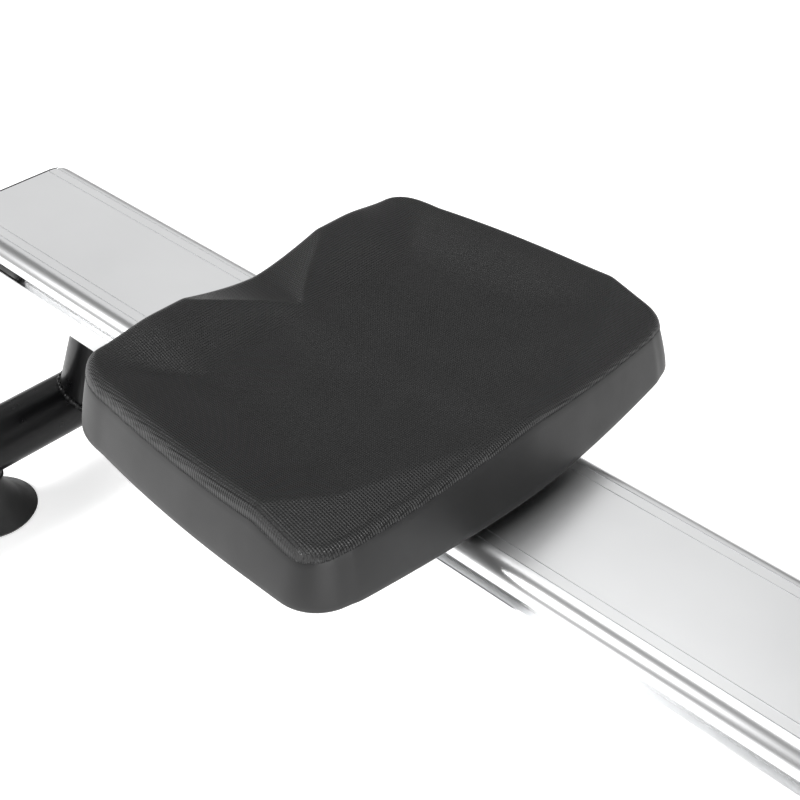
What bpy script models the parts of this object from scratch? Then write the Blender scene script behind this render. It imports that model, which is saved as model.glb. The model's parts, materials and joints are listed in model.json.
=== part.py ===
"""Rowing machine: aluminium rail, rolling moulded seat, folding-strap drive, flywheel front unit.

Frame: +X towards the flywheel, +Y the rower's left, +Z up, floor at z = 0.
Lengths along the machine are first measured from the rail's rear end (r = 0)
and moved by SHIFT_X, which puts the origin under the middle of the machine.
"""
import math

import bmesh
import bpy
import numpy as np
from mathutils import Matrix, Vector

GAP = 0.0003  # clearance between touching pieces

# rail
RAIL_LENGTH = 1.400
RAIL_TOP = 0.242
RAIL_HALF_WIDTH = 0.057
RAIL_EDGE_R = 0.012
RAIL_HEIGHT = 0.043
RAIL_WALL = 0.003
RAIL_CORNER_R = 0.018
GROOVES = (0.0374, 0.0450)
GROOVE_DEPTH = 0.0005
CHANNEL_TOP = 0.0135
CHANNEL_BOTTOM = 0.0245
CHANNEL_WALL = 0.0500
LIP_WALL = 0.0550
STOP_LENGTH = 0.085
FRONT_STOP = 1.108
END_CAP_T = 0.003

# rear support
REAR_TUBE_R = 0.024
REAR_TUBE_X = 0.049
REAR_TUBE_Z = 0.064
REAR_TUBE_HALF = 0.185
POST_R = 0.019
POST_TOP_X = 0.113
FOOT_Y = 0.098
FOOT_RIM_R = 0.0387
FOOT_NECK_R = 0.0151

# seat and carriage
SEAT_X = 0.410
SEAT_FRONT = 0.533
SEAT_REAR = 0.280
SEAT_HALF_WIDTH = 0.163
SEAT_TAPER = 0.0096
SEAT_FRONT_BOW = 0.0135
SEAT_FRONT_CORNER = 0.0285
SEAT_REAR_CORNER = 0.030
SEAT_LIFT = 0.008
SEAT_SHOULDER = 0.036
SEAT_LOW_RIM = 0.0435
CARRIAGE_HALF_LENGTH = 0.076
FLANGE_Y = 0.0605
PLATE_T = 0.0025
TOP_ROLLER_R = 0.0105
TOP_ROLLER_X = 0.062
LOW_ROLLER_R = 0.0050
LOW_ROLLER_X = 0.052

# front frame
CHEEK_Y = 0.0435
CHEEK_T = 0.003
JOINT_X = 1.290
FRONT_TUBE_R = 0.0254
FRONT_TUBE_X = 1.860
FRONT_TUBE_Z = 0.052
FRONT_TUBE_HALF = 0.235
WHEEL_R = 0.030
WHEEL_X = 1.925
WHEEL_Z = 0.048

# drive
NOSE = (1.600, 0.455)
NOSE_R = 0.085
HUB = (1.800, 0.280)
HOUSING_R = 0.195
HOUSING_HALF = 0.085
HOUSING_WALL = 0.003
HOUSING_ROUND = 0.022
FLYWHEEL_R = 0.168
DRUM_R = 0.0285
AXLE_R = 0.006
STRAP_T = 0.0016
STRAP_HALF = 0.0125

# footplates
FOOT_AXLE_X = 1.330
FOOT_AXLE_R = 0.008
PLATE_ANGLE = math.radians(50)
PLATE_HALF_W = 0.060
PLATE_Y = 0.139
PLATE_TOE = 0.165
PLATE_HEEL = 0.125
PLATE_STAND = 0.028
PLATE_THICK = 0.012

# handle and console
HANDLE_X = 1.440
HANDLE_HALF = 0.230
BAR_R = 0.0125
GRIP_R = 0.0160
GRIP_START = 0.062
MAST_FOOT = (1.670, 0.470)
MAST_TOP = (1.565, 0.850)
MAST_R = 0.016
KNOB_X = 1.745
CONSOLE_TILT = math.radians(25)

FOOT_AXLE_Z = RAIL_TOP - RAIL_HEIGHT - 0.032
STRAP_Z = NOSE[1] + DRUM_R + GAP + STRAP_T / 2
SHIFT_X = -(HUB[0] + HOUSING_R - END_CAP_T - GAP) / 2

SCENE = bpy.context.scene
BODY = "rowing_machine"
CUTTERS = "cutters"

COLOURS = {
    "anodised_aluminium": ((0.80, 0.80, 0.79), 1.0, 0.30),
    "black_paint": ((0.020, 0.020, 0.022), 0.2, 0.45),
    "black_rubber": ((0.018, 0.018, 0.018), 0.0, 0.70),
    "seat_foam": ((0.030, 0.030, 0.032), 0.0, 0.60),
    "zinc_steel": ((0.60, 0.60, 0.62), 1.0, 0.35),
    "roller_white": ((0.80, 0.80, 0.76), 0.0, 0.40),
    "housing_plastic": ((0.030, 0.031, 0.034), 0.0, 0.50),
    "trim_grey": ((0.22, 0.22, 0.23), 0.0, 0.45),
    "cast_flywheel": ((0.25, 0.25, 0.26), 1.0, 0.45),
    "webbing": ((0.025, 0.025, 0.027), 0.0, 0.90),
    "grip_foam": ((0.024, 0.024, 0.025), 0.0, 0.85),
    "screen_glass": ((0.012, 0.016, 0.018), 0.0, 0.10),
}


def clear_scene():
    for item in list(bpy.data.objects):
        bpy.data.objects.remove(item, do_unlink=True)
    for label in (BODY, CUTTERS):
        group = bpy.data.collections.new(label)
        SCENE.collection.children.link(group)


def material(name):
    found = bpy.data.materials.get(name)
    if found:
        return found
    colour, metal, rough = COLOURS[name]
    made = bpy.data.materials.new(name)
    made.use_nodes = True
    shader = made.node_tree.nodes["Principled BSDF"]
    shader.inputs["Base Color"].default_value = (*colour, 1.0)
    shader.inputs["Metallic"].default_value = metal
    shader.inputs["Roughness"].default_value = rough
    return made


def finish(bm, name, slot=None, pivot=(0.0, 0.0, 0.0)):
    """Turn a bmesh in machine coordinates into a named object with its origin at pivot."""
    bmesh.ops.recalc_face_normals(bm, faces=bm.faces)
    bmesh.ops.translate(bm, vec=-Vector(pivot), verts=bm.verts)
    mesh = bpy.data.meshes.new(name)
    bm.to_mesh(mesh)
    bm.free()
    made = bpy.data.objects.new(name, mesh)
    made.location = Vector(pivot) + Vector((SHIFT_X, 0.0, 0.0))
    if slot:
        mesh.materials.append(material(slot))
        bpy.data.collections[BODY].objects.link(made)
    else:
        made.display_type = "WIRE"
        made.hide_render = True
        bpy.data.collections[CUTTERS].objects.link(made)
    return made


def cut(target, bm, label):
    """Subtract a bmesh from a finished piece."""
    tool = finish(bm, "cut_" + label)
    change = target.modifiers.new(label, "BOOLEAN")
    change.operation = "DIFFERENCE"
    change.solver = "EXACT"
    change.object = tool
    return target


def join(target, bm, label):
    """Add a bmesh to a finished piece, as a weld or a moulded-on feature."""
    tool = finish(bm, "cut_" + label)
    change = target.modifiers.new(label, "BOOLEAN")
    change.operation = "UNION"
    change.solver = "EXACT"
    change.object = tool
    return target


def placed(axis, a, b, t):
    """A point of a flat outline (a, b) set at t along axis."""
    return {"X": (t, a, b), "Y": (a, t, b), "Z": (a, b, t)}[axis]


def prism(outline, axis, low, high):
    """Extrude a flat outline along an axis."""
    bm = bmesh.new()
    ring = [bm.verts.new(placed(axis, a, b, low)) for a, b in outline]
    face = bm.faces.new(ring)
    grown = bmesh.ops.extrude_face_region(bm, geom=[face])
    tips = [v for v in grown["geom"] if isinstance(v, bmesh.types.BMVert)]
    bmesh.ops.translate(bm, vec=Vector(placed(axis, 0.0, 0.0, high - low)), verts=tips)
    return bm


def box(x0, x1, y0, y1, z0, z1):
    return prism([(x0, y0), (x1, y0), (x1, y1), (x0, y1)], "Z", z0, z1)


def soft_box(x0, x1, y0, y1, z0, z1, radius, segments=2):
    """A box with its edges rounded."""
    bm = box(x0, x1, y0, y1, z0, z1)
    bmesh.ops.bevel(bm, geom=bm.edges[:], offset=radius, segments=segments, affect="EDGES",
                    profile=0.5)
    return bm


def loft(rings):
    """Skin a stack of rings of equal length and cap both ends."""
    bm = bmesh.new()
    rows = [[bm.verts.new(p) for p in ring] for ring in rings]
    count = len(rows[0])
    for low, high in zip(rows, rows[1:]):
        for i in range(count):
            k = (i + 1) % count
            bm.faces.new((low[i], low[k], high[k], high[i]))
    bm.faces.new(rows[0][::-1])
    bm.faces.new(rows[-1])
    return bm


def revolve(profile, centre, axis, segments=28, closed=False):
    """Spin a profile of (radius, distance along axis) points about an axis."""
    axis = Vector(axis).normalized()
    side = axis.orthogonal().normalized()
    centre = Vector(centre)
    bm = bmesh.new()
    line = [bm.verts.new(centre + side * r + axis * t) for r, t in profile]
    edges = [bm.edges.new(pair) for pair in zip(line, line[1:])]
    if closed:
        edges.append(bm.edges.new((line[-1], line[0])))
    bmesh.ops.spin(bm, geom=line + edges, cent=centre, axis=axis, angle=math.tau,
                   steps=segments, use_merge=True)
    bmesh.ops.remove_doubles(bm, verts=bm.verts, dist=0.00001)
    return bm


def rod(start, end, radius, segments=24, chamfer=0.0):
    """A round bar between two points."""
    start, end = Vector(start), Vector(end)
    length = (end - start).length
    c = chamfer
    if c:
        profile = [(0, 0), (radius - c, 0), (radius, c), (radius, length - c),
                   (radius - c, length), (0, length)]
    else:
        profile = [(0, 0), (radius, 0), (radius, length), (0, length)]
    return revolve(profile, start, end - start, segments)


def ring_bar(start, end, outer, inner, segments=28):
    """A round tube between two points."""
    start, end = Vector(start), Vector(end)
    length = (end - start).length
    profile = [(inner, 0), (outer, 0), (outer, length), (inner, length)]
    return revolve(profile, start, end - start, segments, closed=True)


def hull_outline(circles, grow=0.0, samples=40):
    """The outline of a band stretched around circles given as (a, b, radius)."""
    points = []
    for a, b, r in circles:
        for i in range(samples):
            turn = math.tau * i / samples
            points.append((round(a + (r + grow) * math.cos(turn), 7),
                           round(b + (r + grow) * math.sin(turn), 7)))
    points = sorted(set(points))

    def half(line):
        chain = []
        for p in line:
            while len(chain) > 1:
                (ax, ay), (bx, by) = chain[-2], chain[-1]
                if (bx - ax) * (p[1] - ay) - (by - ay) * (p[0] - ax) > 1e-9:
                    break
                chain.pop()
            chain.append(p)
        return chain[:-1]

    return half(points) + half(points[::-1])


def rounded(corners, radius, segments=4):
    """A polygon's corners rounded with short chords."""
    out = []
    count = len(corners)
    for i, corner in enumerate(corners):
        here = Vector((*corner, 0.0))
        before = (Vector((*corners[i - 1], 0.0)) - here).normalized()
        after = (Vector((*corners[(i + 1) % count], 0.0)) - here).normalized()
        half = before.angle(after) / 2
        reach = radius / math.tan(half)
        centre = here + (before + after).normalized() * (radius / math.sin(half))
        first = here + before * reach - centre
        last = here + after * reach - centre
        for k in range(segments + 1):
            spoke = first.slerp(last, k / segments) * radius
            out.append(tuple((centre + spoke)[:2]))
    return out


# rail -------------------------------------------------------------------------------

def rail_section():
    """The rail's outer outline as (y, z), anticlockwise from the top's right edge."""
    half = []
    for y in GROOVES:
        half += [(y - 0.0004, 0.0), (y, -GROOVE_DEPTH), (y + 0.0004, 0.0)]
    flat = RAIL_HALF_WIDTH - RAIL_EDGE_R
    for i in range(1, 6):
        turn = math.pi / 2 * i / 5
        half.append((flat + RAIL_EDGE_R * math.sin(turn), -RAIL_EDGE_R * (1 - math.cos(turn))))
    half += [(RAIL_HALF_WIDTH, -CHANNEL_TOP), (CHANNEL_WALL, -CHANNEL_TOP),
             (CHANNEL_WALL, -CHANNEL_BOTTOM), (LIP_WALL, -CHANNEL_BOTTOM),
             (LIP_WALL, -RAIL_HEIGHT)]
    left = [(y, RAIL_TOP + z) for y, z in half]
    right = [(-y, z) for y, z in left[::-1]]
    return right + left


def make_rail():
    rail = finish(prism(rail_section(), "X", 0.0, RAIL_LENGTH), "rail", "anodised_aluminium")
    inner = CHANNEL_WALL - RAIL_WALL
    core = box(-0.01, RAIL_LENGTH + 0.01, -inner, inner,
               RAIL_TOP - RAIL_HEIGHT + RAIL_WALL, RAIL_TOP - RAIL_WALL - 0.001)
    cut(rail, core, "rail_core")
    r = RAIL_CORNER_R
    for side, label in ((1, "left"), (-1, "right")):
        edge = side * RAIL_HALF_WIDTH
        arc = [(r - r * math.sin(math.pi / 2 * i / 5),
                edge - side * (r - r * math.cos(math.pi / 2 * i / 5))) for i in range(6)]
        nook = arc + [(-0.005, edge - side * r), (-0.005, edge + side * 0.005),
                      (r, edge + side * 0.005)]
        cut(rail, prism(nook, "Z", RAIL_TOP - 0.06, RAIL_TOP + 0.01), "rail_corner_" + label)


def end_line(offset):
    """The rail's rounded rear end in plan, pushed out by offset."""
    r = RAIL_CORNER_R
    w = RAIL_HALF_WIDTH
    line = []
    for side in (-1, 1):
        arc = []
        for i in range(6):
            turn = math.pi / 2 * i / 5
            arc.append((r - (r + offset) * math.sin(turn),
                        side * (w - r + (r + offset) * math.cos(turn))))
        line += arc if side < 0 else arc[::-1]
    return line


def make_rail_ends():
    outline = end_line(GAP + END_CAP_T) + end_line(GAP)[::-1]
    finish(prism(outline, "Z", RAIL_TOP - RAIL_HEIGHT, RAIL_TOP - 0.0005),
           "rail_end_cap", "black_rubber")
    low = RAIL_TOP - CHANNEL_BOTTOM + GAP
    high = RAIL_TOP - CHANNEL_TOP - GAP
    for side, label in ((1, "left"), (-1, "right")):
        for where, x0, x1 in (("rear", RAIL_CORNER_R + 0.001, STOP_LENGTH),
                              ("front", FRONT_STOP, FRONT_STOP + 0.080)):
            a, b = sorted((side * (CHANNEL_WALL + GAP), side * (RAIL_HALF_WIDTH - 0.0005)))
            if where == "rear":
                a, b = sorted((side * (CHANNEL_WALL + GAP), side * (CHANNEL_WALL + 0.005)))
            finish(soft_box(x0, x1, a, b, low, high, 0.0015),
                   f"rail_stop_{where}_{label}", "black_rubber")


# rear support -----------------------------------------------------------------------

def make_rear_support():
    rear = (REAR_TUBE_X, REAR_TUBE_Z)
    tube = finish(rod((rear[0], -REAR_TUBE_HALF, rear[1]), (rear[0], REAR_TUBE_HALF, rear[1]),
                      REAR_TUBE_R, 32), "rear_stabiliser_tube", "black_paint")
    under = RAIL_TOP - RAIL_HEIGHT - GAP
    top = Vector((POST_TOP_X, 0.0, under + 0.004))
    foot = Vector((rear[0] + 0.004, 0.0, rear[1]))
    post = finish(rod(foot, top, POST_R, 28), "rear_post", "black_paint")
    join(post, box(POST_TOP_X - 0.055, POST_TOP_X + 0.055, -0.045, 0.045, under - 0.005, under),
         "post_plate")
    cut(post, box(POST_TOP_X - 0.1, POST_TOP_X + 0.1, -0.06, 0.06, under, under + 0.04),
        "post_top")
    cut(post, rod((rear[0], -0.06, rear[1]), (rear[0], 0.06, rear[1]), REAR_TUBE_R + GAP, 32),
        "post_saddle")
    for side, label in ((1, "left"), (-1, "right")):
        y = side * REAR_TUBE_HALF
        cap = revolve([(0, GAP), (REAR_TUBE_R + 0.002, GAP), (REAR_TUBE_R + 0.002, 0.012),
                       (REAR_TUBE_R - 0.003, 0.018), (0, 0.018)],
                      (rear[0], y, rear[1]), (0, side, 0), 28)
        finish(cap, f"rear_end_cap_{label}", "black_rubber")
        tall = REAR_TUBE_Z - REAR_TUBE_R * 0.75
        bell = revolve([(0, 0), (FOOT_RIM_R - 0.002, 0), (FOOT_RIM_R, 0.003), (0.033, 0.010),
                        (0.024, 0.021), (FOOT_NECK_R, 0.033), (FOOT_NECK_R, tall), (0, tall)],
                       (rear[0], side * FOOT_Y, 0), (0, 0, 1), 24)
        foot_piece = finish(bell, f"rear_foot_{label}", "black_rubber")
        saddle = rod((rear[0], side * FOOT_Y - 0.05, rear[1]),
                     (rear[0], side * FOOT_Y + 0.05, rear[1]), REAR_TUBE_R + GAP, 32)
        cut(foot_piece, saddle, f"foot_saddle_{label}")
    return tube


# seat -------------------------------------------------------------------------------

def seat_outline():
    """The seat's plan outline at its base, as (x, y) from the seat's middle line."""
    half = []
    for i in range(7):
        y = 0.133 * i / 6
        half.append((SEAT_FRONT - SEAT_FRONT_BOW * (y / 0.141) ** 1.6, y))
    r = SEAT_FRONT_CORNER
    for i in range(1, 5):
        turn = math.pi / 2 * i / 4
        half.append((SEAT_FRONT - 0.0425 + r * math.cos(turn),
                     SEAT_HALF_WIDTH - r + r * math.sin(turn)))
    for i in range(1, 7):
        x = SEAT_FRONT - 0.053 - 0.158 * i / 6
        back = max(0.0, SEAT_FRONT - 0.073 - x) / 0.135
        half.append((x, SEAT_HALF_WIDTH - SEAT_TAPER * back ** 2))
    r = SEAT_REAR_CORNER
    edge = half[-1]
    for i in range(1, 5):
        turn = math.pi / 2 * i / 4
        half.append((edge[0] - (edge[0] - SEAT_REAR) * math.sin(turn),
                     edge[1] - r * (1 - math.cos(turn))))
    for i in range(1, 5):
        half.append((SEAT_REAR, half[16][1] * (1 - i / 4)))
    return half[:-1] + [half[-1]] + [(x, -y) for x, y in half[-2:0:-1]]


def rim_lift(x, y):
    """How far the rim stands above its lowest level: high at the back, notched behind."""
    across = abs(y) / SEAT_HALF_WIDTH
    along = (SEAT_FRONT - x) / (SEAT_FRONT - SEAT_REAR)
    if along < 0.25:
        return 0.014 * max(0.0, 1 - (across / 0.7) ** 2) + 0.048 * max(0.0, along - 0.03)
    lift = 0.012 + 0.005 * max(0.0, along - 0.6) / 0.4
    if along > 0.85 and across < 0.42:
        lift -= 0.012 * (1 - across / 0.42)
    return lift


def seat_ring(inset, height, lifted=0.0, shrink=1.0):
    """One level of the seat, inset from the outline or shrunk towards its middle."""
    line = seat_outline()
    mid = (SEAT_FRONT + SEAT_REAR) / 2
    ring = []
    for i, (x, y) in enumerate(line):
        before, after = line[i - 1], line[(i + 1) % len(line)]
        run = Vector((after[0] - before[0], after[1] - before[1])).normalized()
        px = mid + (x - run.y * inset - mid) * shrink
        py = (y + run.x * inset) * shrink
        ring.append((px, py, RAIL_TOP + height + lifted * rim_lift(x, y)))
    return ring


def make_seat():
    roof = TOP_ROLLER_R * 2 + GAP * 4 + PLATE_T + 0.0003
    rings = [seat_ring(0.0, roof, shrink=0.72), seat_ring(0.0, SEAT_LIFT, shrink=0.76),
             seat_ring(0.0, SEAT_LIFT), seat_ring(0.006, SEAT_SHOULDER, 0.9),
             seat_ring(0.0085, SEAT_LOW_RIM - 0.002, 1.0), seat_ring(0.014, SEAT_LOW_RIM, 1.0),
             seat_ring(0.0, SEAT_LOW_RIM - 0.002, 0.45, 0.72),
             seat_ring(0.0, SEAT_LOW_RIM - 0.001, 0.1, 0.45)]
    finish(loft(rings), "seat_pad", "seat_foam", (SEAT_X, 0.0, RAIL_TOP + SEAT_LIFT))


def make_carriage():
    under = RAIL_TOP + TOP_ROLLER_R * 2 + GAP * 3
    over = under + PLATE_T
    skirt = RAIL_TOP - 0.027
    y0, y1 = FLANGE_Y, FLANGE_Y + PLATE_T
    outline = [(-y1, skirt), (-y1, over), (y1, over), (y1, skirt), (y0, skirt), (y0, under),
               (-y0, under), (-y0, skirt)]
    finish(prism(outline, "X", SEAT_X - CARRIAGE_HALF_LENGTH, SEAT_X + CARRIAGE_HALF_LENGTH),
           "carriage_plate", "zinc_steel", (SEAT_X, 0.0, RAIL_TOP))
    axle_z = RAIL_TOP + TOP_ROLLER_R + GAP
    low_z = RAIL_TOP - CHANNEL_TOP - GAP - LOW_ROLLER_R
    inner, outer = GROOVES
    for way, end in ((1, "front"), (-1, "rear")):
        x = SEAT_X + way * TOP_ROLLER_X
        span = FLANGE_Y - GAP
        axle = revolve([(0, -span), (0.003, -span), (0.003, -outer - GAP), (0.003, outer + GAP),
                        (0.003, span), (0, span)], (x, 0, axle_z), (0, 1, 0), 16)
        finish(axle, f"roller_axle_{end}", "zinc_steel", (x, 0, axle_z))
        for side, label in ((1, "left"), (-1, "right")):
            tyre = revolve([(0.003 + GAP, inner), (TOP_ROLLER_R - 0.001, inner),
                            (TOP_ROLLER_R, inner + 0.001), (TOP_ROLLER_R, outer - 0.001),
                            (TOP_ROLLER_R - 0.001, outer), (0.003 + GAP, outer)],
                           (x, 0, axle_z), (0, side, 0), 16, closed=True)
            finish(tyre, f"top_roller_{end}_{label}", "roller_white", (x, 0, axle_z))
            lx = SEAT_X + way * LOW_ROLLER_X
            near = CHANNEL_WALL + 0.0012
            pin = revolve([(0, near), (LOW_ROLLER_R, near), (LOW_ROLLER_R, 0.0570),
                           (0.0022, 0.0570), (0.0022, FLANGE_Y - GAP), (0, FLANGE_Y - GAP)],
                          (lx, 0, low_z), (0, side, 0), 12)
            finish(pin, f"low_roller_{end}_{label}", "roller_white", (lx, 0, low_z))


# front frame ------------------------------------------------------------------------

def cheek_arms():
    """The four arms of a side plate, as circles joined in pairs."""
    joint = (JOINT_X, RAIL_TOP - RAIL_HEIGHT - 0.025, 0.022)
    hub = (HUB[0], HUB[1], 0.055)
    nose = (NOSE[0], NOSE[1], 0.060)
    foot = (FRONT_TUBE_X, FRONT_TUBE_Z, 0.036)
    brake = (*brake_pin_at(), 0.0095)
    return [(joint, hub), (nose, hub), (hub, foot), ((*HUB, 0.040), brake)]


def cheek_solid(side, grow=0.0):
    """One side plate's arms as separate solids, thickened by grow."""
    y = side * CHEEK_Y
    low, high = sorted((y, y + side * CHEEK_T))
    return [prism(hull_outline(pair, grow, 24), "Y", low - grow, high + grow)
            for pair in cheek_arms()]


def make_front_frame():
    axle_z = FOOT_AXLE_Z
    for side, label in ((1, "left"), (-1, "right")):
        arms = cheek_solid(side)
        plate = finish(arms[0], f"side_plate_{label}", "black_paint")
        join(plate, arms[1], f"nose_arm_{label}")
        join(plate, arms[2], f"foot_arm_{label}")
        join(plate, arms[3], f"brake_arm_{label}")
        span = CHEEK_Y + CHEEK_T + 0.01
        for centre, radius, what in (((FRONT_TUBE_X, FRONT_TUBE_Z), FRONT_TUBE_R, "tube"),
                                     (HUB, AXLE_R, "hub"), (NOSE, AXLE_R, "nose"),
                                     ((FOOT_AXLE_X, axle_z), FOOT_AXLE_R, "foot")):
            hole = rod((centre[0], side * (CHEEK_Y - 0.01), centre[1]),
                       (centre[0], side * span, centre[1]), radius + GAP,
                       28 if radius > 0.02 else 16)
            cut(plate, hole, f"{what}_hole_{label}")
        seat = box(JOINT_X - 0.1, RAIL_LENGTH + GAP, side * CHEEK_Y - 0.02,
                   side * CHEEK_Y + 0.02, RAIL_TOP - RAIL_HEIGHT - GAP, RAIL_TOP + 0.02)
        cut(plate, seat, f"rail_notch_{label}")
    top = RAIL_TOP - RAIL_HEIGHT - GAP
    half = CHEEK_Y - GAP
    bracket = finish(soft_box(JOINT_X - 0.030, RAIL_LENGTH - 0.020, -half, half, top - 0.045,
                              top, 0.002, 1), "rail_bracket", "black_paint")
    cut(bracket, rod((FOOT_AXLE_X, -0.1, axle_z), (FOOT_AXLE_X, 0.1, axle_z),
                     FOOT_AXLE_R + GAP, 20), "bracket_bore")
    finish(rod((FRONT_TUBE_X, -FRONT_TUBE_HALF, FRONT_TUBE_Z),
               (FRONT_TUBE_X, FRONT_TUBE_HALF, FRONT_TUBE_Z), FRONT_TUBE_R, 32),
           "front_stabiliser_tube", "black_paint")
    reach = PLATE_Y + PLATE_HALF_W - 0.010
    finish(rod((FOOT_AXLE_X, -reach, axle_z), (FOOT_AXLE_X, reach, axle_z), FOOT_AXLE_R, 20,
               0.001), "foot_axle", "zinc_steel")
    for side, label in ((1, "left"), (-1, "right")):
        inner = side * (FRONT_TUBE_HALF + GAP)
        outer = side * (FRONT_TUBE_HALF + 0.032)
        low, high = sorted((inner, outer))
        outline = hull_outline([(FRONT_TUBE_X, FRONT_TUBE_Z, 0.029),
                                (FRONT_TUBE_X - 0.012, 0.012, 0.012),
                                (FRONT_TUBE_X + 0.012, 0.012, 0.012),
                                (WHEEL_X, WHEEL_Z, 0.012)], 0.0, 28)
        cap = finish(prism(outline, "Y", low, high), f"front_foot_{label}", "black_rubber")
        pin_end = inner - side * 0.026
        join(cap, rod((WHEEL_X, inner + side * 0.004, WHEEL_Z), (WHEEL_X, pin_end, WHEEL_Z),
                      0.004, 16), f"wheel_pin_{label}")
        tyre = revolve([(0.004 + GAP, GAP), (0.010, GAP), (WHEEL_R - 0.003, GAP),
                        (WHEEL_R, 0.003), (WHEEL_R, 0.020), (WHEEL_R - 0.003, 0.023),
                        (0.004 + GAP, 0.023)], (WHEEL_X, inner, WHEEL_Z), (0, -side, 0), 20,
                       closed=True)
        finish(tyre, f"transport_wheel_{label}", "black_rubber", (WHEEL_X, inner, WHEEL_Z))


# drive ------------------------------------------------------------------------------

def housing_circles(inset=0.0):
    return [(NOSE[0], NOSE[1], NOSE_R - inset), (HUB[0], HUB[1], HOUSING_R - inset)]


def housing_ring(inset, y):
    return [(a, y, b) for a, b in hull_outline(housing_circles(inset), 0.0, 36)]


def mast_line(z):
    """The mast's centre line at height z."""
    share = (z - MAST_FOOT[1]) / (MAST_TOP[1] - MAST_FOOT[1])
    return MAST_FOOT[0] + (MAST_TOP[0] - MAST_FOOT[0]) * share


def knob_frame():
    """The point where the knob's shaft leaves the housing's top edge, and its direction."""
    rise = HUB[1] - NOSE[1]
    run = HUB[0] - NOSE[0]
    length = math.hypot(rise, run)
    lean = math.asin((HOUSING_R - NOSE_R) / length) + math.atan2(rise, run)
    normal = Vector((-math.sin(lean), 0.0, math.cos(lean)))
    start = Vector((NOSE[0], 0.0, NOSE[1])) + normal * NOSE_R
    along = Vector((math.cos(lean), 0.0, math.sin(lean)))
    return start + along * (KNOB_X - start.x) / along.x, normal


def make_housing():
    at, out = knob_frame()
    wall = HOUSING_WALL
    for side, label in ((1, "left"), (-1, "right")):
        seam = side * GAP / 2
        flank = side * (HOUSING_HALF - HOUSING_ROUND)
        face = side * HOUSING_HALF
        rings = [housing_ring(HOUSING_ROUND + wall, face - side * wall),
                 housing_ring(wall + 0.006, flank + side * (HOUSING_ROUND * 0.72 - wall)),
                 housing_ring(wall, flank), housing_ring(wall, seam),
                 housing_ring(0.0, seam), housing_ring(0.0, flank),
                 housing_ring(0.006, flank + side * HOUSING_ROUND * 0.72),
                 housing_ring(HOUSING_ROUND, face)]
        shell = finish(loft(rings), f"housing_{label}", "housing_plastic")
        for i, arm in enumerate(cheek_solid(side, GAP)):
            cut(shell, arm, f"plate_slot_{i}_{label}")
        lean = Vector((MAST_TOP[0] - MAST_FOOT[0], 0, MAST_TOP[1] - MAST_FOOT[1])).normalized()
        base = Vector((MAST_FOOT[0], 0, MAST_FOOT[1]))
        cut(shell, rod(base, base + lean * 0.2, MAST_R + GAP, 28), f"mast_hole_{label}")
        cut(shell, rod(at - out * 0.03, at + out * 0.03, 0.005 + GAP, 20), f"knob_hole_{label}")
        cut(shell, box(*guide_box(GAP)), f"guide_hole_{label}")
        cut(shell, box(*cradle_box(GAP)), f"cradle_hole_{label}")


def guide_box(grow):
    back = NOSE[0] - NOSE_R
    return (back - 0.012 - grow, back + 0.020 + grow, -0.0175 - grow, 0.0175 + grow,
            STRAP_Z - 0.011 - grow, STRAP_Z + 0.011 + grow)


def cradle_box(grow):
    back = NOSE[0] - NOSE_R
    low = STRAP_Z - GRIP_R - 0.022
    return (HANDLE_X - 0.022 - grow, back + 0.016 + grow, -0.052 - grow, 0.052 + grow,
            low - grow, low + 0.009 + grow)


def make_guide_and_cradle():
    x0, x1, y0, y1, z0, z1 = guide_box(0.0)
    guide = finish(soft_box(x0, x1, y0, y1, z0, z1, 0.002), "strap_guide", "trim_grey")
    cut(guide, box(x0 - 0.01, x1 + 0.01, -STRAP_HALF - 0.0015, STRAP_HALF + 0.0015,
                   STRAP_Z - 0.0035, STRAP_Z + 0.0035), "guide_slot")
    x0, x1, y0, y1, z0, z1 = cradle_box(0.0)
    cradle = finish(soft_box(x0, x1, y0, y1, z0, z1, 0.002), "handle_cradle", "trim_grey")
    for side, label in ((1, "left"), (-1, "right")):
        low, high = sorted((side * 0.034, side * 0.050))
        prong = box(HANDLE_X - 0.018, HANDLE_X + 0.026, low, high, z1 - 0.003,
                    STRAP_Z - BAR_R - GAP)
        join(cradle, prong, f"prong_{label}")


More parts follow.
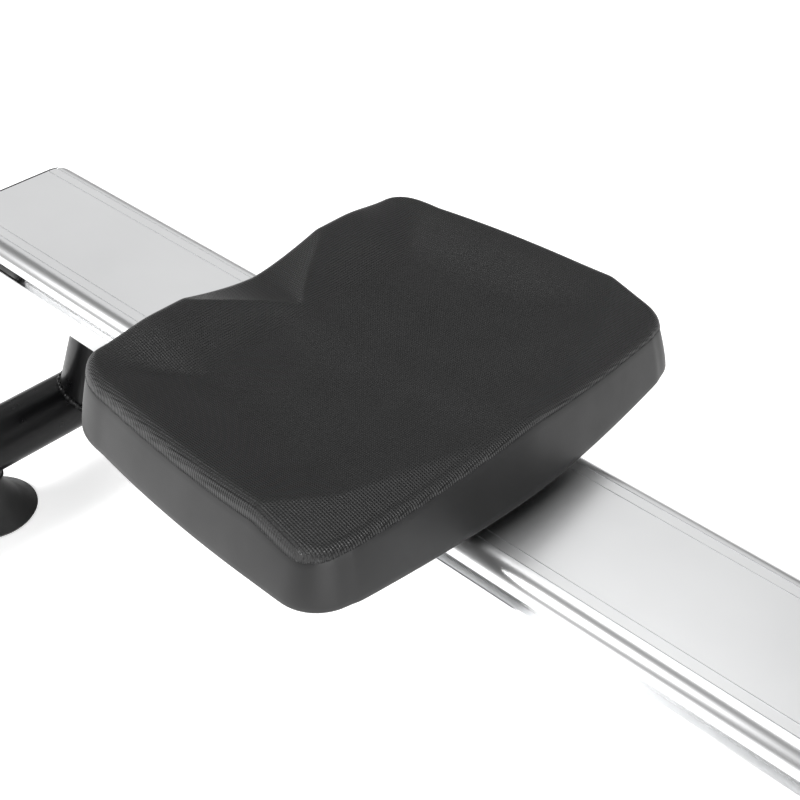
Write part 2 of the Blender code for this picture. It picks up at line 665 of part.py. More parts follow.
def make_drive():
    hx, hz = HUB
    nx, nz = NOSE
    bore = AXLE_R + GAP
    ends = CHEEK_Y + CHEEK_T + GAP
    wheel = revolve([(bore, -0.0360), (0.020, -0.0360), (0.020, -0.0110), (0.120, -0.0060),
                     (0.130, -0.0120), (FLYWHEEL_R, -0.0120), (FLYWHEEL_R, 0.0120),
                     (0.130, 0.0120), (0.120, 0.0060), (0.020, 0.0110), (0.020, 0.0190),
                     (0.033, 0.0190), (0.033, 0.0200), (0.030, 0.0200), (0.030, 0.0345),
                     (0.033, 0.0345), (0.033, 0.0355), (bore, 0.0355)],
                    (hx, 0, hz), (0, 1, 0), 36, closed=True)
    finish(wheel, "flywheel", "cast_flywheel", (hx, 0, hz))
    big = 0.066
    drum = revolve([(bore, -0.0360), (0.012, -0.0360), (0.012, -0.0175), (0.040, -0.0175),
                    (0.040, -0.0155), (DRUM_R, -0.0155), (DRUM_R, 0.0155), (0.040, 0.0155),
                    (0.040, 0.0175), (big, 0.0180), (big + 0.003, 0.0190), (big, 0.0205),
                    (big, 0.0340), (big + 0.003, 0.0350), (big, 0.0360), (bore, 0.0360)],
                   (nx, 0, nz), (0, 1, 0), 28, closed=True)
    finish(drum, "strap_drum", "trim_grey", (nx, 0, nz))
    for name, x, z in (("flywheel_axle", hx, hz), ("drum_axle", nx, nz)):
        bolt = revolve([(0, -ends - 0.007), (0.011, -ends - 0.007), (0.011, -ends),
                        (AXLE_R, -ends), (AXLE_R, ends), (0.011, ends),
                        (0.011, ends + 0.007), (0, ends + 0.007)], (x, 0, z), (0, 1, 0), 20)
        finish(bolt, name, "zinc_steel")
    loop = [(nx, nz, big), (hx, hz, 0.030)]
    outer = hull_outline(loop, GAP + 0.0022, 28)
    inner = hull_outline(loop, GAP, 44)
    belt = finish(prism(outer, "Y", 0.0215, 0.0330), "drive_belt", "black_rubber")
    cut(belt, prism(inner, "Y", 0.0115, 0.0430), "belt_inside")
    make_brake()


def brake_pin_at():
    """The brake arm's pivot, just above the flywheel's rim."""
    turn = math.radians(62)
    reach = FLYWHEEL_R + 0.013
    return HUB[0] + reach * math.cos(turn), HUB[1] + reach * math.sin(turn)


def make_brake():
    px, pz = brake_pin_at()
    half = CHEEK_Y - GAP
    arc = []
    for radius, order in ((FLYWHEEL_R + 0.004, 1), (FLYWHEEL_R + 0.010, -1)):
        turns = [math.radians(64 + 46 * i / 8) for i in range(9)][::order]
        arc += [(HUB[0] + radius * math.cos(t), HUB[1] + radius * math.sin(t)) for t in turns]
    arm = finish(prism(arc, "Y", -0.018, 0.018), "brake_arm", "zinc_steel", (px, 0, pz))
    join(arm, rod((px, -0.018, pz), (px, 0.018, pz), 0.0085, 24), "brake_barrel")
    cut(arm, rod((px, -0.03, pz), (px, 0.03, pz), 0.004 + GAP, 20), "brake_bore")
    finish(rod((px, -half, pz), (px, half, pz), 0.004, 20), "brake_pin", "zinc_steel")


def make_knob():
    at, out = knob_frame()
    knob = revolve([(0, -0.014), (0.005, -0.014), (0.005, 0.0010), (0.021, 0.0010),
                    (0.024, 0.0040), (0.022, 0.0200), (0.019, 0.0230), (0, 0.0230)],
                   at, out, 20)
    finish(knob, "resistance_knob", "trim_grey", tuple(at))


# handle, strap, console -------------------------------------------------------------

def make_handle():
    rest = (HANDLE_X, 0.0, STRAP_Z)
    end = HANDLE_HALF - 0.004
    finish(rod((HANDLE_X, -end, STRAP_Z), (HANDLE_X, end, STRAP_Z), BAR_R, 24),
           "handle_bar", "zinc_steel", rest)
    for side, label in ((1, "left"), (-1, "right")):
        grip = revolve([(BAR_R + GAP, GRIP_START), (GRIP_R - 0.002, GRIP_START),
                        (GRIP_R, GRIP_START + 0.002), (GRIP_R, HANDLE_HALF - 0.003),
                        (GRIP_R - 0.003, HANDLE_HALF), (0, HANDLE_HALF), (0, end + GAP),
                        (BAR_R + GAP, end + GAP), (BAR_R + GAP, GRIP_START)],
                       rest, (0, side, 0), 20)
        finish(grip, f"handle_grip_{label}", "grip_foam", rest)
    yoke = finish(soft_box(HANDLE_X - 0.018, HANDLE_X + 0.030, -0.026, 0.026,
                           STRAP_Z - 0.0175, STRAP_Z + 0.0175, 0.004),
                  "handle_yoke", "trim_grey", rest)
    cut(yoke, rod((HANDLE_X, -0.05, STRAP_Z), (HANDLE_X, 0.05, STRAP_Z), BAR_R + GAP, 24),
        "yoke_bore")
    start = HANDLE_X + 0.030 + GAP
    finish(box(start, NOSE[0], -STRAP_HALF, STRAP_HALF, STRAP_Z - STRAP_T / 2,
               STRAP_Z + STRAP_T / 2), "pull_strap", "webbing")


def make_console():
    base = Vector((MAST_FOOT[0], 0, MAST_FOOT[1]))
    top = Vector((MAST_TOP[0], 0, MAST_TOP[1]))
    lean = (top - base).normalized()
    mast = finish(rod(base, top, MAST_R, 28), "console_mast", "black_paint")
    half = CHEEK_Y - GAP
    join(mast, soft_box(base.x - 0.020, base.x + 0.022, -half, 0.0160, base.z - 0.024,
                        base.z + 0.014, 0.002, 1), "mast_block")
    joint = top + lean * 0.010
    barrel = revolve([(0, -0.024), (0.004, -0.024), (0.004, -0.014), (0.012, -0.014),
                      (0.012, 0.014), (0.004, 0.014), (0.004, 0.024), (0, 0.024)],
                     joint, (0, 1, 0), 16)
    cut(mast, rod((joint.x, -0.03, joint.z), (joint.x, 0.03, joint.z), 0.012 + GAP, 24),
        "mast_saddle")
    finish(barrel, "console_hinge_pin", "zinc_steel")
    tilt = Matrix.Translation(joint) @ Matrix.Rotation(CONSOLE_TILT, 4, "Y")
    body = soft_box(-0.046, -0.018, -0.105, 0.105, -0.045, 0.100, 0.007)
    bmesh.ops.transform(body, matrix=tilt, verts=body.verts)
    console = finish(body, "console_body", "housing_plastic", tuple(joint))
    for side, label in ((1, "left"), (-1, "right")):
        low, high = sorted((side * (0.014 + GAP), side * 0.0225))
        ear = prism(hull_outline([(0.0, 0.0, 0.010), (-0.028, 0.0, 0.016)], 0.0, 28), "Y", low,
                    high)
        bmesh.ops.transform(ear, matrix=tilt, verts=ear.verts)
        join(console, ear, f"console_ear_{label}")
    cut(console, rod((joint.x, -0.04, joint.z), (joint.x, 0.04, joint.z), 0.004 + GAP, 20),
        "console_bore")
    pocket = box(-0.050, -0.0435, -0.086, 0.086, 0.010, 0.086)
    bmesh.ops.transform(pocket, matrix=tilt, verts=pocket.verts)
    cut(console, pocket, "screen_pocket")
    glass = box(-0.0460, -0.0435 - GAP, -0.086 + GAP, 0.086 - GAP, 0.010 + GAP, 0.086 - GAP)
    bmesh.ops.transform(glass, matrix=tilt, verts=glass.verts)
    finish(glass, "console_screen", "screen_glass", tuple(joint))


# footplates -------------------------------------------------------------------------

def foot_frame(side):
    """Axes of a footplate: x along the sole towards the toes, y left, z towards the foot."""
    axis = Vector((FOOT_AXLE_X, side * PLATE_Y, FOOT_AXLE_Z))
    turn = Matrix.Rotation(-PLATE_ANGLE, 4, "Y")
    return Matrix.Translation(axis) @ turn, axis


def set_in(bm, frame):
    bmesh.ops.transform(bm, matrix=frame, verts=bm.verts)
    return bm


def make_footplates():
    top = PLATE_STAND + PLATE_THICK
    w = PLATE_HALF_W
    for side, label in ((1, "left"), (-1, "right")):
        frame, axis = foot_frame(side)
        sole = prism(rounded([(-PLATE_HEEL, -w), (PLATE_TOE, -w), (PLATE_TOE, w),
                              (-PLATE_HEEL, w)], 0.022, 4), "Z", PLATE_STAND, top)
        plate = finish(set_in(sole, frame), f"footplate_{label}", "housing_plastic",
                       tuple(axis))
        hub = prism(hull_outline([(0, 0, 0.015), (-0.020, PLATE_STAND, 0.006),
                                  (0.020, PLATE_STAND, 0.006)], 0.0, 28), "Y", -0.040, 0.040)
        join(plate, set_in(hub, frame), f"plate_hub_{label}")
        cut(plate, set_in(rod((0, -0.07, 0), (0, 0.07, 0), FOOT_AXLE_R + GAP, 20), frame),
            f"plate_bore_{label}")
        floor = top + GAP
        rear = -PLATE_HEEL + 0.012
        outer = rounded([(rear, -0.050), (rear + 0.105, -0.050), (rear + 0.105, 0.050),
                         (rear, 0.050)], 0.020, 4)
        cup = prism(outer, "Z", floor, floor + 0.034)
        cup_piece = finish(set_in(cup, frame), f"heel_cup_{label}", "trim_grey", tuple(axis))
        inner = rounded([(rear + 0.004, -0.046), (rear + 0.150, -0.046), (rear + 0.150, 0.046),
                         (rear + 0.004, 0.046)], 0.017, 4)
        cut(cup_piece, set_in(prism(inner, "Z", floor + 0.003, floor + 0.06), frame),
            f"cup_inside_{label}")
        slope = [(rear + 0.020, floor + 0.04), (rear + 0.110, floor + 0.012),
                 (rear + 0.120, floor + 0.04)]
        cut(cup_piece, set_in(prism(slope, "Y", -0.07, 0.07), frame), f"cup_slope_{label}")
        arch = []
        lift = 0.078
        for reach, order in ((0.0025, 1), (GAP, -1)):
            line = [(-(w + reach), PLATE_STAND + 0.001)]
            for i in range(0, 13):
                turn = math.pi * i / 12
                line.append((-(w + reach) * math.cos(turn) * (1.0 - 0.10 * math.sin(turn)),
                             top + 0.006 + (lift + reach) * math.sin(turn)))
            line.append((w + reach, PLATE_STAND + 0.001))
            arch += line[::order]
        band = prism(arch, "X", 0.030, 0.085)
        finish(set_in(band, frame), f"foot_strap_{label}", "webbing", tuple(axis))


clear_scene()
make_rail()
make_rail_ends()
make_rear_support()
make_seat()
make_carriage()
make_front_frame()
make_housing()
make_guide_and_cradle()
make_drive()
make_knob()
make_handle()
make_console()
make_footplates()
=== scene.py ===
"""Rowing machine, finished: seat skin, rail, stands, carriage, drive, footplates, handle, console.

Laid out as an add-on and run as a script. Lengths are metres, +X runs towards the flywheel, +Y is the
rower's left, +Z is up and the floor is z = 0. Every piece takes its place from the loaded frame.
"""
import json
import math

import bmesh
import bpy
import numpy as np
from bpy.props import FloatProperty, FloatVectorProperty, IntProperty, PointerProperty
from bpy.types import Operator, Panel, PropertyGroup
from mathutils import Matrix, Vector

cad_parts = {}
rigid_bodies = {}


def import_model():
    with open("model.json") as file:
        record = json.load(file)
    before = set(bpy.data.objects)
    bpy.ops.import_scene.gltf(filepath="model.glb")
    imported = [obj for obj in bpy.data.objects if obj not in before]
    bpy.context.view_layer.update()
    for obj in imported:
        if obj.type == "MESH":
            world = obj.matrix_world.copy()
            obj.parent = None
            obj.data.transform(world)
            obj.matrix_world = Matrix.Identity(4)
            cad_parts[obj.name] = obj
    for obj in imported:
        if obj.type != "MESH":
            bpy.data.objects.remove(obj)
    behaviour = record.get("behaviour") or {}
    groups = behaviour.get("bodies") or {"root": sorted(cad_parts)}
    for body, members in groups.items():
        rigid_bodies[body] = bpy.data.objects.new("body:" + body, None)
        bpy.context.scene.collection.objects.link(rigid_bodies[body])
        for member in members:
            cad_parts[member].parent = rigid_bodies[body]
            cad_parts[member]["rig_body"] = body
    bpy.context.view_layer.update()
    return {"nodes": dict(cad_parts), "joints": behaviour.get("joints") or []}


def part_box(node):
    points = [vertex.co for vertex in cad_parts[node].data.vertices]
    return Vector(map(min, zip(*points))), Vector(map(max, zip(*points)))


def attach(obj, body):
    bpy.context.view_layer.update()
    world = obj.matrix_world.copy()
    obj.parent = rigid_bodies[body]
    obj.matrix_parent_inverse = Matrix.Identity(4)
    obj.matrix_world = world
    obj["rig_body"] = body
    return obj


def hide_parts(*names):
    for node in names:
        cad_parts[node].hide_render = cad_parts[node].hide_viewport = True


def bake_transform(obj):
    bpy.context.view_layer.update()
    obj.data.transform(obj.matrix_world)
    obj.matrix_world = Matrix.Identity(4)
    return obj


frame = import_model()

bl_info = {
    "name": "Rowing machine finish",
    "version": (1, 0, 0),
    "blender": (4, 5, 0),
    "location": "View3D > Sidebar > Rower",
    "description": "Builds the finished surfaces of a rowing machine around its frame",
    "category": "Object",
}

SIDES = ((1, "left"), (-1, "right"))
ENDS = ((1, "front"), (-1, "rear"))
TINY = 0.00001  # merging distance for doubled points


# settings ---------------------------------------------------------------------------

def length_setting(name, text, value):
    return FloatProperty(name=name, description=text, default=value, unit="LENGTH", precision=4)


def colour_setting(name, text, value):
    return FloatVectorProperty(name=name, description=text, default=value, subtype="COLOR",
                               min=0.0, max=1.0)


class SeatSettings(PropertyGroup):
    """Sizes and colour of the moulded seat."""
    wall_inset: length_setting("Wall inset", "How far the wall leans in from foot to bead", 0.0067)
    side_roll: length_setting("Side roll", "Height of the rounded edge along the sides", 0.0095)
    front_roll: length_setting("Front roll", "Height of the rounded edge along the front", 0.0040)
    rear_roll: length_setting("Rear roll", "Height of the rounded edge along the back", 0.0080)
    grain_pitch: length_setting("Grain pitch", "Spacing of the moulded diamond grain", 0.0016)
    cells: IntProperty(name="Cells", description="Squares along each side of the seat's top",
                       default=170, min=40, max=260)
    colour: colour_setting("Foam", "Colour of the moulded foam skin", (0.0064, 0.0064, 0.0066))


class RailSettings(PropertyGroup):
    """Section and finish of the aluminium rail."""
    edge_radius: length_setting("Edge radius", "Rounding of the rail's top edges", 0.012)
    corner_radius: length_setting("End radius", "Rounding of the rail's rear corners in plan", 0.018)
    wall: length_setting("Wall", "Wall thickness of the extrusion", 0.003)
    groove_depth: length_setting("Groove depth", "Depth of the fine lines along the top", 0.0006)
    colour: colour_setting("Aluminium", "Colour of the anodised rail", (0.80, 0.805, 0.81))


class StandSettings(PropertyGroup):
    """Painted steel and rubber of both stands."""
    weld_radius: length_setting("Weld", "Thickness of the weld bead round the rear post", 0.0028)
    paint: colour_setting("Paint", "Colour of the painted steel", (0.0025, 0.0025, 0.0028))
    rubber: colour_setting("Rubber", "Colour of feet, stops and wheels", (0.014, 0.014, 0.014))


class FrontSettings(PropertyGroup):
    """Colours of the drive housing, the footplates and the handle."""
    housing_edge: length_setting("Housing edge", "Rounding of the housing's outer rim", 0.022)
    shell: colour_setting("Shell", "Colour of the moulded housing", (0.022, 0.0225, 0.0245))
    trim: colour_setting("Trim", "Colour of the grey mouldings", (0.16, 0.165, 0.17))
    accent: colour_setting("Accent", "Colour of the trim ring on the housing", (0.42, 0.43, 0.44))


class StageSettings(PropertyGroup):
    """Camera, floor and studio light."""
    azimuth: FloatProperty(name="Azimuth", description="Camera's turn round the machine",
                           default=math.radians(43.73), subtype="ANGLE")
    elevation: FloatProperty(name="Elevation", description="Camera's height above the horizon",
                             default=math.radians(37.66), subtype="ANGLE")
    distance: length_setting("Distance", "From the camera to its aim", 0.833)
    lens: FloatProperty(name="Lens", description="Focal length in millimetres", default=65.16)
    aim_ahead: length_setting("Aim ahead", "Aim point in front of the seat's middle", 0.0459)
    aim_right: length_setting("Aim right", "Aim point to the rower's right", 0.0315)
    aim_above: length_setting("Aim above", "Aim point above the rail's top", 0.050)
    floor: colour_setting("Floor", "Colour of the studio floor", (0.92, 0.92, 0.92))


# reading the frame ------------------------------------------------------------------

def middle(node):
    low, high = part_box(node)
    return (low + high) / 2


def joint_place(name):
    for joint in frame["joints"]:
        if joint["name"] == name:
            return Vector(joint["pos_m"])
    raise KeyError(name)


def joint_axis(name):
    for joint in frame["joints"]:
        if joint["name"] == name:
            return Vector(joint["axis"])
    raise KeyError(name)


# finishes ---------------------------------------------------------------------------

class Finish:
    """A procedural material on a piece's own Object coordinates."""

    def __init__(self, name, colour, rough, metal=0.0, specular=0.5, slot=None):
        self.material = bpy.data.materials.new(name + "_finish")
        self.material.use_nodes = True
        self.tree = self.material.node_tree
        self.shader = self.tree.nodes["Principled BSDF"]
        self.set("Base Color", (*colour, 1.0))
        self.set("Roughness", rough)
        self.set("Metallic", metal)
        self.set("Specular IOR Level", specular)
        self.places = self.tree.nodes.new("ShaderNodeTexCoord").outputs["Object"]
        self.name = name
        self.slot = slot or name

    def set(self, socket, value):
        self.shader.inputs[socket].default_value = value

    def node(self, kind, inputs=None, **values):
        made = self.tree.nodes.new(kind)
        for key, value in values.items():
            setattr(made, key, value)
        for key, value in (inputs or {}).items():
            if isinstance(value, bpy.types.NodeSocket):
                self.tree.links.new(value, made.inputs[key])
            else:
                made.inputs[key].default_value = value
        return made

    def feed(self, socket, source):
        self.tree.links.new(source, self.shader.inputs[socket])

    def moved(self, scale=(1, 1, 1), turn=(0, 0, 0), shift=(0, 0, 0)):
        """The piece's coordinates stretched, turned and shifted."""
        return self.node("ShaderNodeMapping", {"Vector": self.places, "Scale": scale,
                                               "Rotation": turn, "Location": shift}).outputs[0]

    def noise(self, scale, detail=3.0, rough=0.55, places=None):
        return self.node("ShaderNodeTexNoise", {"Vector": places or self.places, "Scale": scale,
                                                "Detail": detail, "Roughness": rough}).outputs["Fac"]

    def cells(self, scale, places=None):
        return self.node("ShaderNodeTexVoronoi", {"Vector": places or self.places,
                                                  "Scale": scale}).outputs["Distance"]

    def spread(self, value, low, high, start=0.3, end=0.7):
        """A value mapped from start..end to low..high."""
        return self.node("ShaderNodeMapRange", {"Value": value, "From Min": start, "From Max": end,
                                                "To Min": low, "To Max": high}).outputs[0]

    def sum(self, a, b, kind="ADD"):
        return self.node("ShaderNodeMath", {0: a, 1: b}, operation=kind).outputs[0]

    def tint(self, value, dark, light, start=0.3, end=0.7):
        """Colour between dark and light as value goes from start to end."""
        made = self.node("ShaderNodeValToRGB", {"Fac": value})
        first, last = made.color_ramp.elements
        first.position, first.color = start, (*dark, 1.0)
        last.position, last.color = end, (*light, 1.0)
        return made.outputs["Color"]

    def attribute(self, name):
        return self.node("ShaderNodeAttribute", attribute_name=name).outputs["Fac"]

    def waves(self, pitch, turn=0.0, axes="XY"):
        """A product of two sine waves, as on a diamond grain or a weave, from -1 to 1."""
        places = self.moved(turn=(0.0, 0.0, turn)) if turn else self.places
        parts = self.node("ShaderNodeSeparateXYZ", {0: places})
        found = []
        for axis in axes:
            phase = self.sum(parts.outputs[axis], math.tau / pitch, "MULTIPLY")
            found.append(self.node("ShaderNodeMath", {0: phase}, operation="SINE").outputs[0])
        return self.sum(found[0], found[1], "MULTIPLY") if len(found) > 1 else found[0]

    def bump(self, height, depth, strength=1.0, under=None):
        """Relief of the given depth in metres, on top of another relief if one is given."""
        inputs = {"Height": height, "Distance": depth, "Strength": strength}
        if under is not None:
            inputs["Normal"] = under
        return self.node("ShaderNodeBump", inputs).outputs[0]

    def vary(self, colour, share, scale):
        """Cloudy variation of the colour by the given share."""
        low = tuple(c * (1 - share) for c in colour)
        high = tuple(min(1.0, c * (1 + share)) for c in colour)
        self.feed("Base Color", self.tint(self.noise(scale), low, high))
        return self


FINISHES = {}


def finish(name):
    return FINISHES[name]


def make_metals(rail, stand):
    made = Finish("anodised_aluminium", rail.colour, 0.27, 1.0)
    made.vary(tuple(rail.colour), 0.03, 9.0)
    drawn = made.noise(1.0, 3.0, 0.6, made.moved(scale=(2.5, 2200.0, 2200.0)))
    made.feed("Roughness", made.spread(drawn, 0.275, 0.295))
    FINISHES[made.name] = made

    made = Finish("black_paint", stand.paint, 0.30, 0.0, 0.22)
    made.vary(tuple(stand.paint), 0.12, 30.0)
    peel = made.noise(420.0, 2.0)
    made.feed("Roughness", made.spread(made.noise(60.0), 0.26, 0.38))
    made.feed("Normal", made.bump(peel, 0.00008, 0.35))
    FINISHES[made.name] = made

    made = Finish("zinc_steel", (0.58, 0.585, 0.60), 0.34, 1.0)
    spangle = made.cells(160.0)
    made.feed("Base Color", made.tint(spangle, (0.50, 0.505, 0.52), (0.64, 0.645, 0.66), 0.0, 0.9))
    made.feed("Roughness", made.spread(made.noise(300.0), 0.26, 0.42))
    made.feed("Normal", made.bump(made.noise(700.0), 0.00003, 0.4))
    FINISHES[made.name] = made

    made = Finish("cast_flywheel", (0.24, 0.24, 0.25), 0.45, 1.0)
    made.vary((0.24, 0.24, 0.25), 0.18, 60.0)
    made.feed("Normal", made.bump(made.noise(260.0, 4.0), 0.0002, 0.5))
    FINISHES[made.name] = made


def make_soft_finishes(seat, stand):
    made = Finish("seat_foam", seat.colour, 0.45, 0.0, 0.50)
    skin = made.attribute("skin")
    # The cloudy lighter and darker patches in the foam's base colour are painted sheen, standing in for
    # the skin's patchy gloss.
    dark = tuple(c * 0.86 for c in seat.colour)
    light = tuple(c * 1.22 for c in seat.colour)
    made.feed("Base Color", made.tint(made.noise(26.0, 4.0), dark, light))
    grain = made.waves(seat.grain_pitch * math.sqrt(2.0), math.radians(45))
    relief = made.sum(grain, skin, "MULTIPLY")
    raised = made.bump(relief, 0.00036, 1.0)
    leather = made.noise(1500.0, 3.0)
    bare = made.spread(skin, 1.0, 0.25, 0.0, 1.0)
    fine = made.sum(leather, bare, "MULTIPLY")
    made.feed("Normal", made.bump(fine, 0.00006, 0.6, raised))
    sheen = made.spread(made.noise(34.0, 3.0), 0.0, 0.07)
    body = made.spread(skin, 0.42, 0.34, 0.0, 1.0)
    made.feed("Roughness", made.sum(body, sheen))
    FINISHES[made.name] = made

    made = Finish("black_rubber", stand.rubber, 0.55, 0.0, 0.4)
    made.vary(tuple(stand.rubber), 0.2, 45.0)
    made.feed("Roughness", made.spread(made.noise(90.0), 0.48, 0.66))
    made.feed("Normal", made.bump(made.noise(900.0), 0.0001, 0.4))
    FINISHES[made.name] = made

    made = Finish("grip_foam", (0.020, 0.020, 0.021), 0.85, 0.0, 0.3)
    pores = made.cells(1500.0)
    made.feed("Base Color", made.tint(pores, (0.009, 0.009, 0.010), (0.027, 0.027, 0.028), 0.0, 0.6))
    made.feed("Normal", made.bump(pores, 0.0004, 0.8))
    made.set("Sheen Weight", 0.15)
    FINISHES[made.name] = made

    made = Finish("webbing", (0.022, 0.022, 0.024), 0.75, 0.0, 0.3)
    rib = made.waves(0.0022, 0.0, "XY")
    made.feed("Base Color", made.tint(rib, (0.012, 0.012, 0.013), (0.035, 0.035, 0.038), -0.2, 1.0))
    made.feed("Normal", made.bump(rib, 0.0002, 0.8))
    made.set("Sheen Weight", 0.3)
    FINISHES[made.name] = made


def make_plastics(front):
    made = Finish("housing_plastic", front.shell, 0.42)
    made.vary(tuple(front.shell), 0.12, 20.0)
    spark = made.noise(1100.0, 2.0)
    made.feed("Roughness", made.spread(made.noise(180.0), 0.36, 0.50))
    made.feed("Normal", made.bump(spark, 0.00012, 0.5))
    FINISHES[made.name] = made

    made = Finish("trim_grey", front.trim, 0.40)
    made.vary(tuple(front.trim), 0.10, 40.0)
    made.feed("Roughness", made.spread(made.noise(220.0), 0.34, 0.48))
    made.feed("Normal", made.bump(made.noise(1300.0), 0.00008, 0.4))
    FINISHES[made.name] = made

    made = Finish("roller_white", (0.78, 0.78, 0.74), 0.32)
    made.vary((0.78, 0.78, 0.74), 0.05, 120.0)
    made.feed("Roughness", made.spread(made.noise(260.0), 0.26, 0.42))
    made.set("Subsurface Weight", 0.05)
    FINISHES[made.name] = made

    made = Finish("accent_grey", front.accent, 0.34, slot="trim_grey")
    made.vary(tuple(front.accent), 0.06, 70.0)
    made.feed("Roughness", made.spread(made.noise(240.0), 0.30, 0.42))
    FINISHES[made.name] = made

    made = Finish("display_ink", (0.020, 0.024, 0.020), 0.35, slot="screen_glass")
    made.vary((0.020, 0.024, 0.020), 0.15, 50.0)
    FINISHES[made.name] = made

    made = Finish("screen_glass", (0.30, 0.33, 0.27), 0.06)
    made.vary((0.28, 0.315, 0.25), 0.04, 14.0)
    made.feed("Roughness", made.spread(made.noise(40.0), 0.04, 0.09))
    made.set("Coat Weight", 0.6)
    FINISHES[made.name] = made


# shaping ----------------------------------------------------------------------------

def spun(profile, centre, axis, steps=64, closed=False):
    """Turn a profile of (radius, distance along axis) points about an axis."""
    axis = Vector(axis).normalized()
    side = axis.orthogonal().normalized()
    centre = Vector(centre)
    bm = bmesh.new()
    line = [bm.verts.new(centre + side * r + axis * t) for r, t in profile]
    edges = [bm.edges.new(pair) for pair in zip(line, line[1:])]
    if closed:
        edges.append(bm.edges.new((line[-1], line[0])))
    bmesh.ops.spin(bm, geom=line + edges, cent=centre, axis=axis, angle=math.tau, steps=steps,
                   use_merge=True)
    bmesh.ops.remove_doubles(bm, verts=bm.verts, dist=TINY)
    bmesh.ops.recalc_face_normals(bm, faces=bm.faces)
    return bm


def round_corner(profile, index, radius, steps=5):
    """Replace one corner of a profile by a short arc."""
    here = Vector(profile[index])
    before = (Vector(profile[index - 1]) - here)
    after = (Vector(profile[(index + 1) % len(profile)]) - here)
    half = before.angle(after) / 2
    reach = min(radius / math.tan(half), before.length * 0.49, after.length * 0.49)
    first = here + before.normalized() * reach
    last = here + after.normalized() * reach
    arc = []
    for k in range(steps + 1):
        t = k / steps
        arc.append(tuple(first * (1 - t) ** 2 + here * 2 * t * (1 - t) + last * t ** 2))
    return profile[:index] + arc + profile[index + 1:]


def rounded_profile(profile, corners, radius, steps=5):
    """Round several corners of a profile, given by their indices."""
    for index in sorted(corners, reverse=True):
        profile = round_corner(profile, index, radius, steps)
    return profile


def soften(bm, width, segments=3, least=0.45):
    """Round every edge that turns more than least radians."""
    sharp = [e for e in bm.edges if len(e.link_faces) == 2 and e.calc_face_angle(0.0) > least]
    if sharp:
        bmesh.ops.bevel(bm, geom=sharp, offset=width, offset_type="OFFSET", segments=segments,
                        profile=0.5, affect="EDGES", material=-1, clamp_overlap=True)
    return bm


def set_at(axis, a, b, t):
    return {"X": (t, a, b), "Y": (a, t, b), "Z": (a, b, t)}[axis]


def slab(outline, axis, low, high, edge=0.0, segments=3):
    """A flat outline extruded between low and high, with its rims rounded."""
    bm = bmesh.new()
    ring = [bm.verts.new(set_at(axis, a, b, low)) for a, b in outline]
    face = bm.faces.new(ring)
    grown = bmesh.ops.extrude_face_region(bm, geom=[face])
    tips = [v for v in grown["geom"] if isinstance(v, bmesh.types.BMVert)]
    bmesh.ops.translate(bm, vec=Vector(set_at(axis, 0.0, 0.0, high - low)), verts=tips)
    bmesh.ops.recalc_face_normals(bm, faces=bm.faces)
    if edge:
        soften(bm, edge, segments)
    return bm


def block(low, high, edge=0.001, segments=3):
    """A box between two corners with its edges rounded."""
    low, high = Vector(low), Vector(high)
    bm = bmesh.new()
    bmesh.ops.create_cube(bm, size=1.0)
    bmesh.ops.scale(bm, vec=high - low, verts=bm.verts)
    bmesh.ops.translate(bm, vec=(low + high) / 2, verts=bm.verts)
    if edge:
        bmesh.ops.bevel(bm, geom=bm.edges[:], offset=edge, offset_type="OFFSET",
                        segments=segments, profile=0.5, affect="EDGES", material=-1)
    return bm


def added(bm, other):
    """Put a second bmesh into the first."""
    spare = bpy.data.meshes.new("spare")
    other.to_mesh(spare)
    other.free()
    bm.from_mesh(spare)
    bpy.data.meshes.remove(spare)
    return bm


def laid(bm, matrix):
    bmesh.ops.transform(bm, matrix=matrix, verts=bm.verts)
    return bm


def piece(bm, name, look, body, stands_for=(), smooth=38.0):
    """A finished piece: smoothed, given its finish and hung on its body."""
    mesh = bpy.data.meshes.new(name)
    bm.to_mesh(mesh)
    bm.free()
    mesh.materials.append(finish(look).material)
    mesh.shade_smooth()
    mesh.set_sharp_from_angle(angle=math.radians(smooth))
    made = bpy.data.objects.new(name, mesh)
    bpy.context.scene.collection.objects.link(made)
    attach(made, body)
    if stands_for:
        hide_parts(*stands_for)
    return made


def dressed(node, look, edge=0.0008, segments=2, name=None):
    """A frame piece kept in its own shape, merged and with its edges broken."""
    source = frame["nodes"][node]
    bm = bmesh.new()
    bm.from_mesh(source.data)
    bmesh.ops.remove_doubles(bm, verts=bm.verts, dist=TINY)
    bmesh.ops.dissolve_limit(bm, angle_limit=math.radians(0.6), verts=bm.verts, edges=bm.edges)
    if edge:
        soften(bm, edge, segments)
    return piece(bm, name or node + "_finished", look, source["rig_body"], (node,))


# seat -------------------------------------------------------------------------------

SEAT_FRONT_BOW = 0.0135      # how far the front edge bows back at its ends
SEAT_BOW_REACH = 0.141       # distance from the middle where the bow is measured
SEAT_FRONT_CORNER = 0.0285
SEAT_CORNER_BACK = 0.0425    # front corner's centre behind the front edge
SEAT_TAPER = 0.0096          # how far each side draws in towards the back
SEAT_TAPER_START = 0.073
SEAT_TAPER_RUN = 0.135
SEAT_SIDE_END = 0.211        # where the side meets the rear corner, behind the front edge
SEAT_REAR_CORNER = 0.030
SEAT_BOWL = 0.0425           # lowest level of the seat's top above the rail
SEAT_RISES = {
    "back": (0.017, 0.183, 0.058),    # height, where it starts behind the front, its run
    "front": (0.013, 0.128, 0.115),
    "side": (0.012, 0.085, 0.068),    # height, where it starts from the middle, its run
}
SEAT_CORNER_FALL = (0.007, 0.080, 0.060)
SEAT_RIDGE = (0.0025, 0.022)
NOTCH_APEX = 0.197           # tip of the tailbone notch behind the front edge
NOTCH_RUN = 0.048
NOTCH_HALF = 0.065
NOTCH_LEVELS = (0.0465, 0.002, 0.012)
THIGH_CREASE = (0.059, 0.143, 0.009, 0.032)   # its two ends, behind the front and from the middle
THIGH_LEVEL = 0.0535
THIGH_SLOPE = 0.32
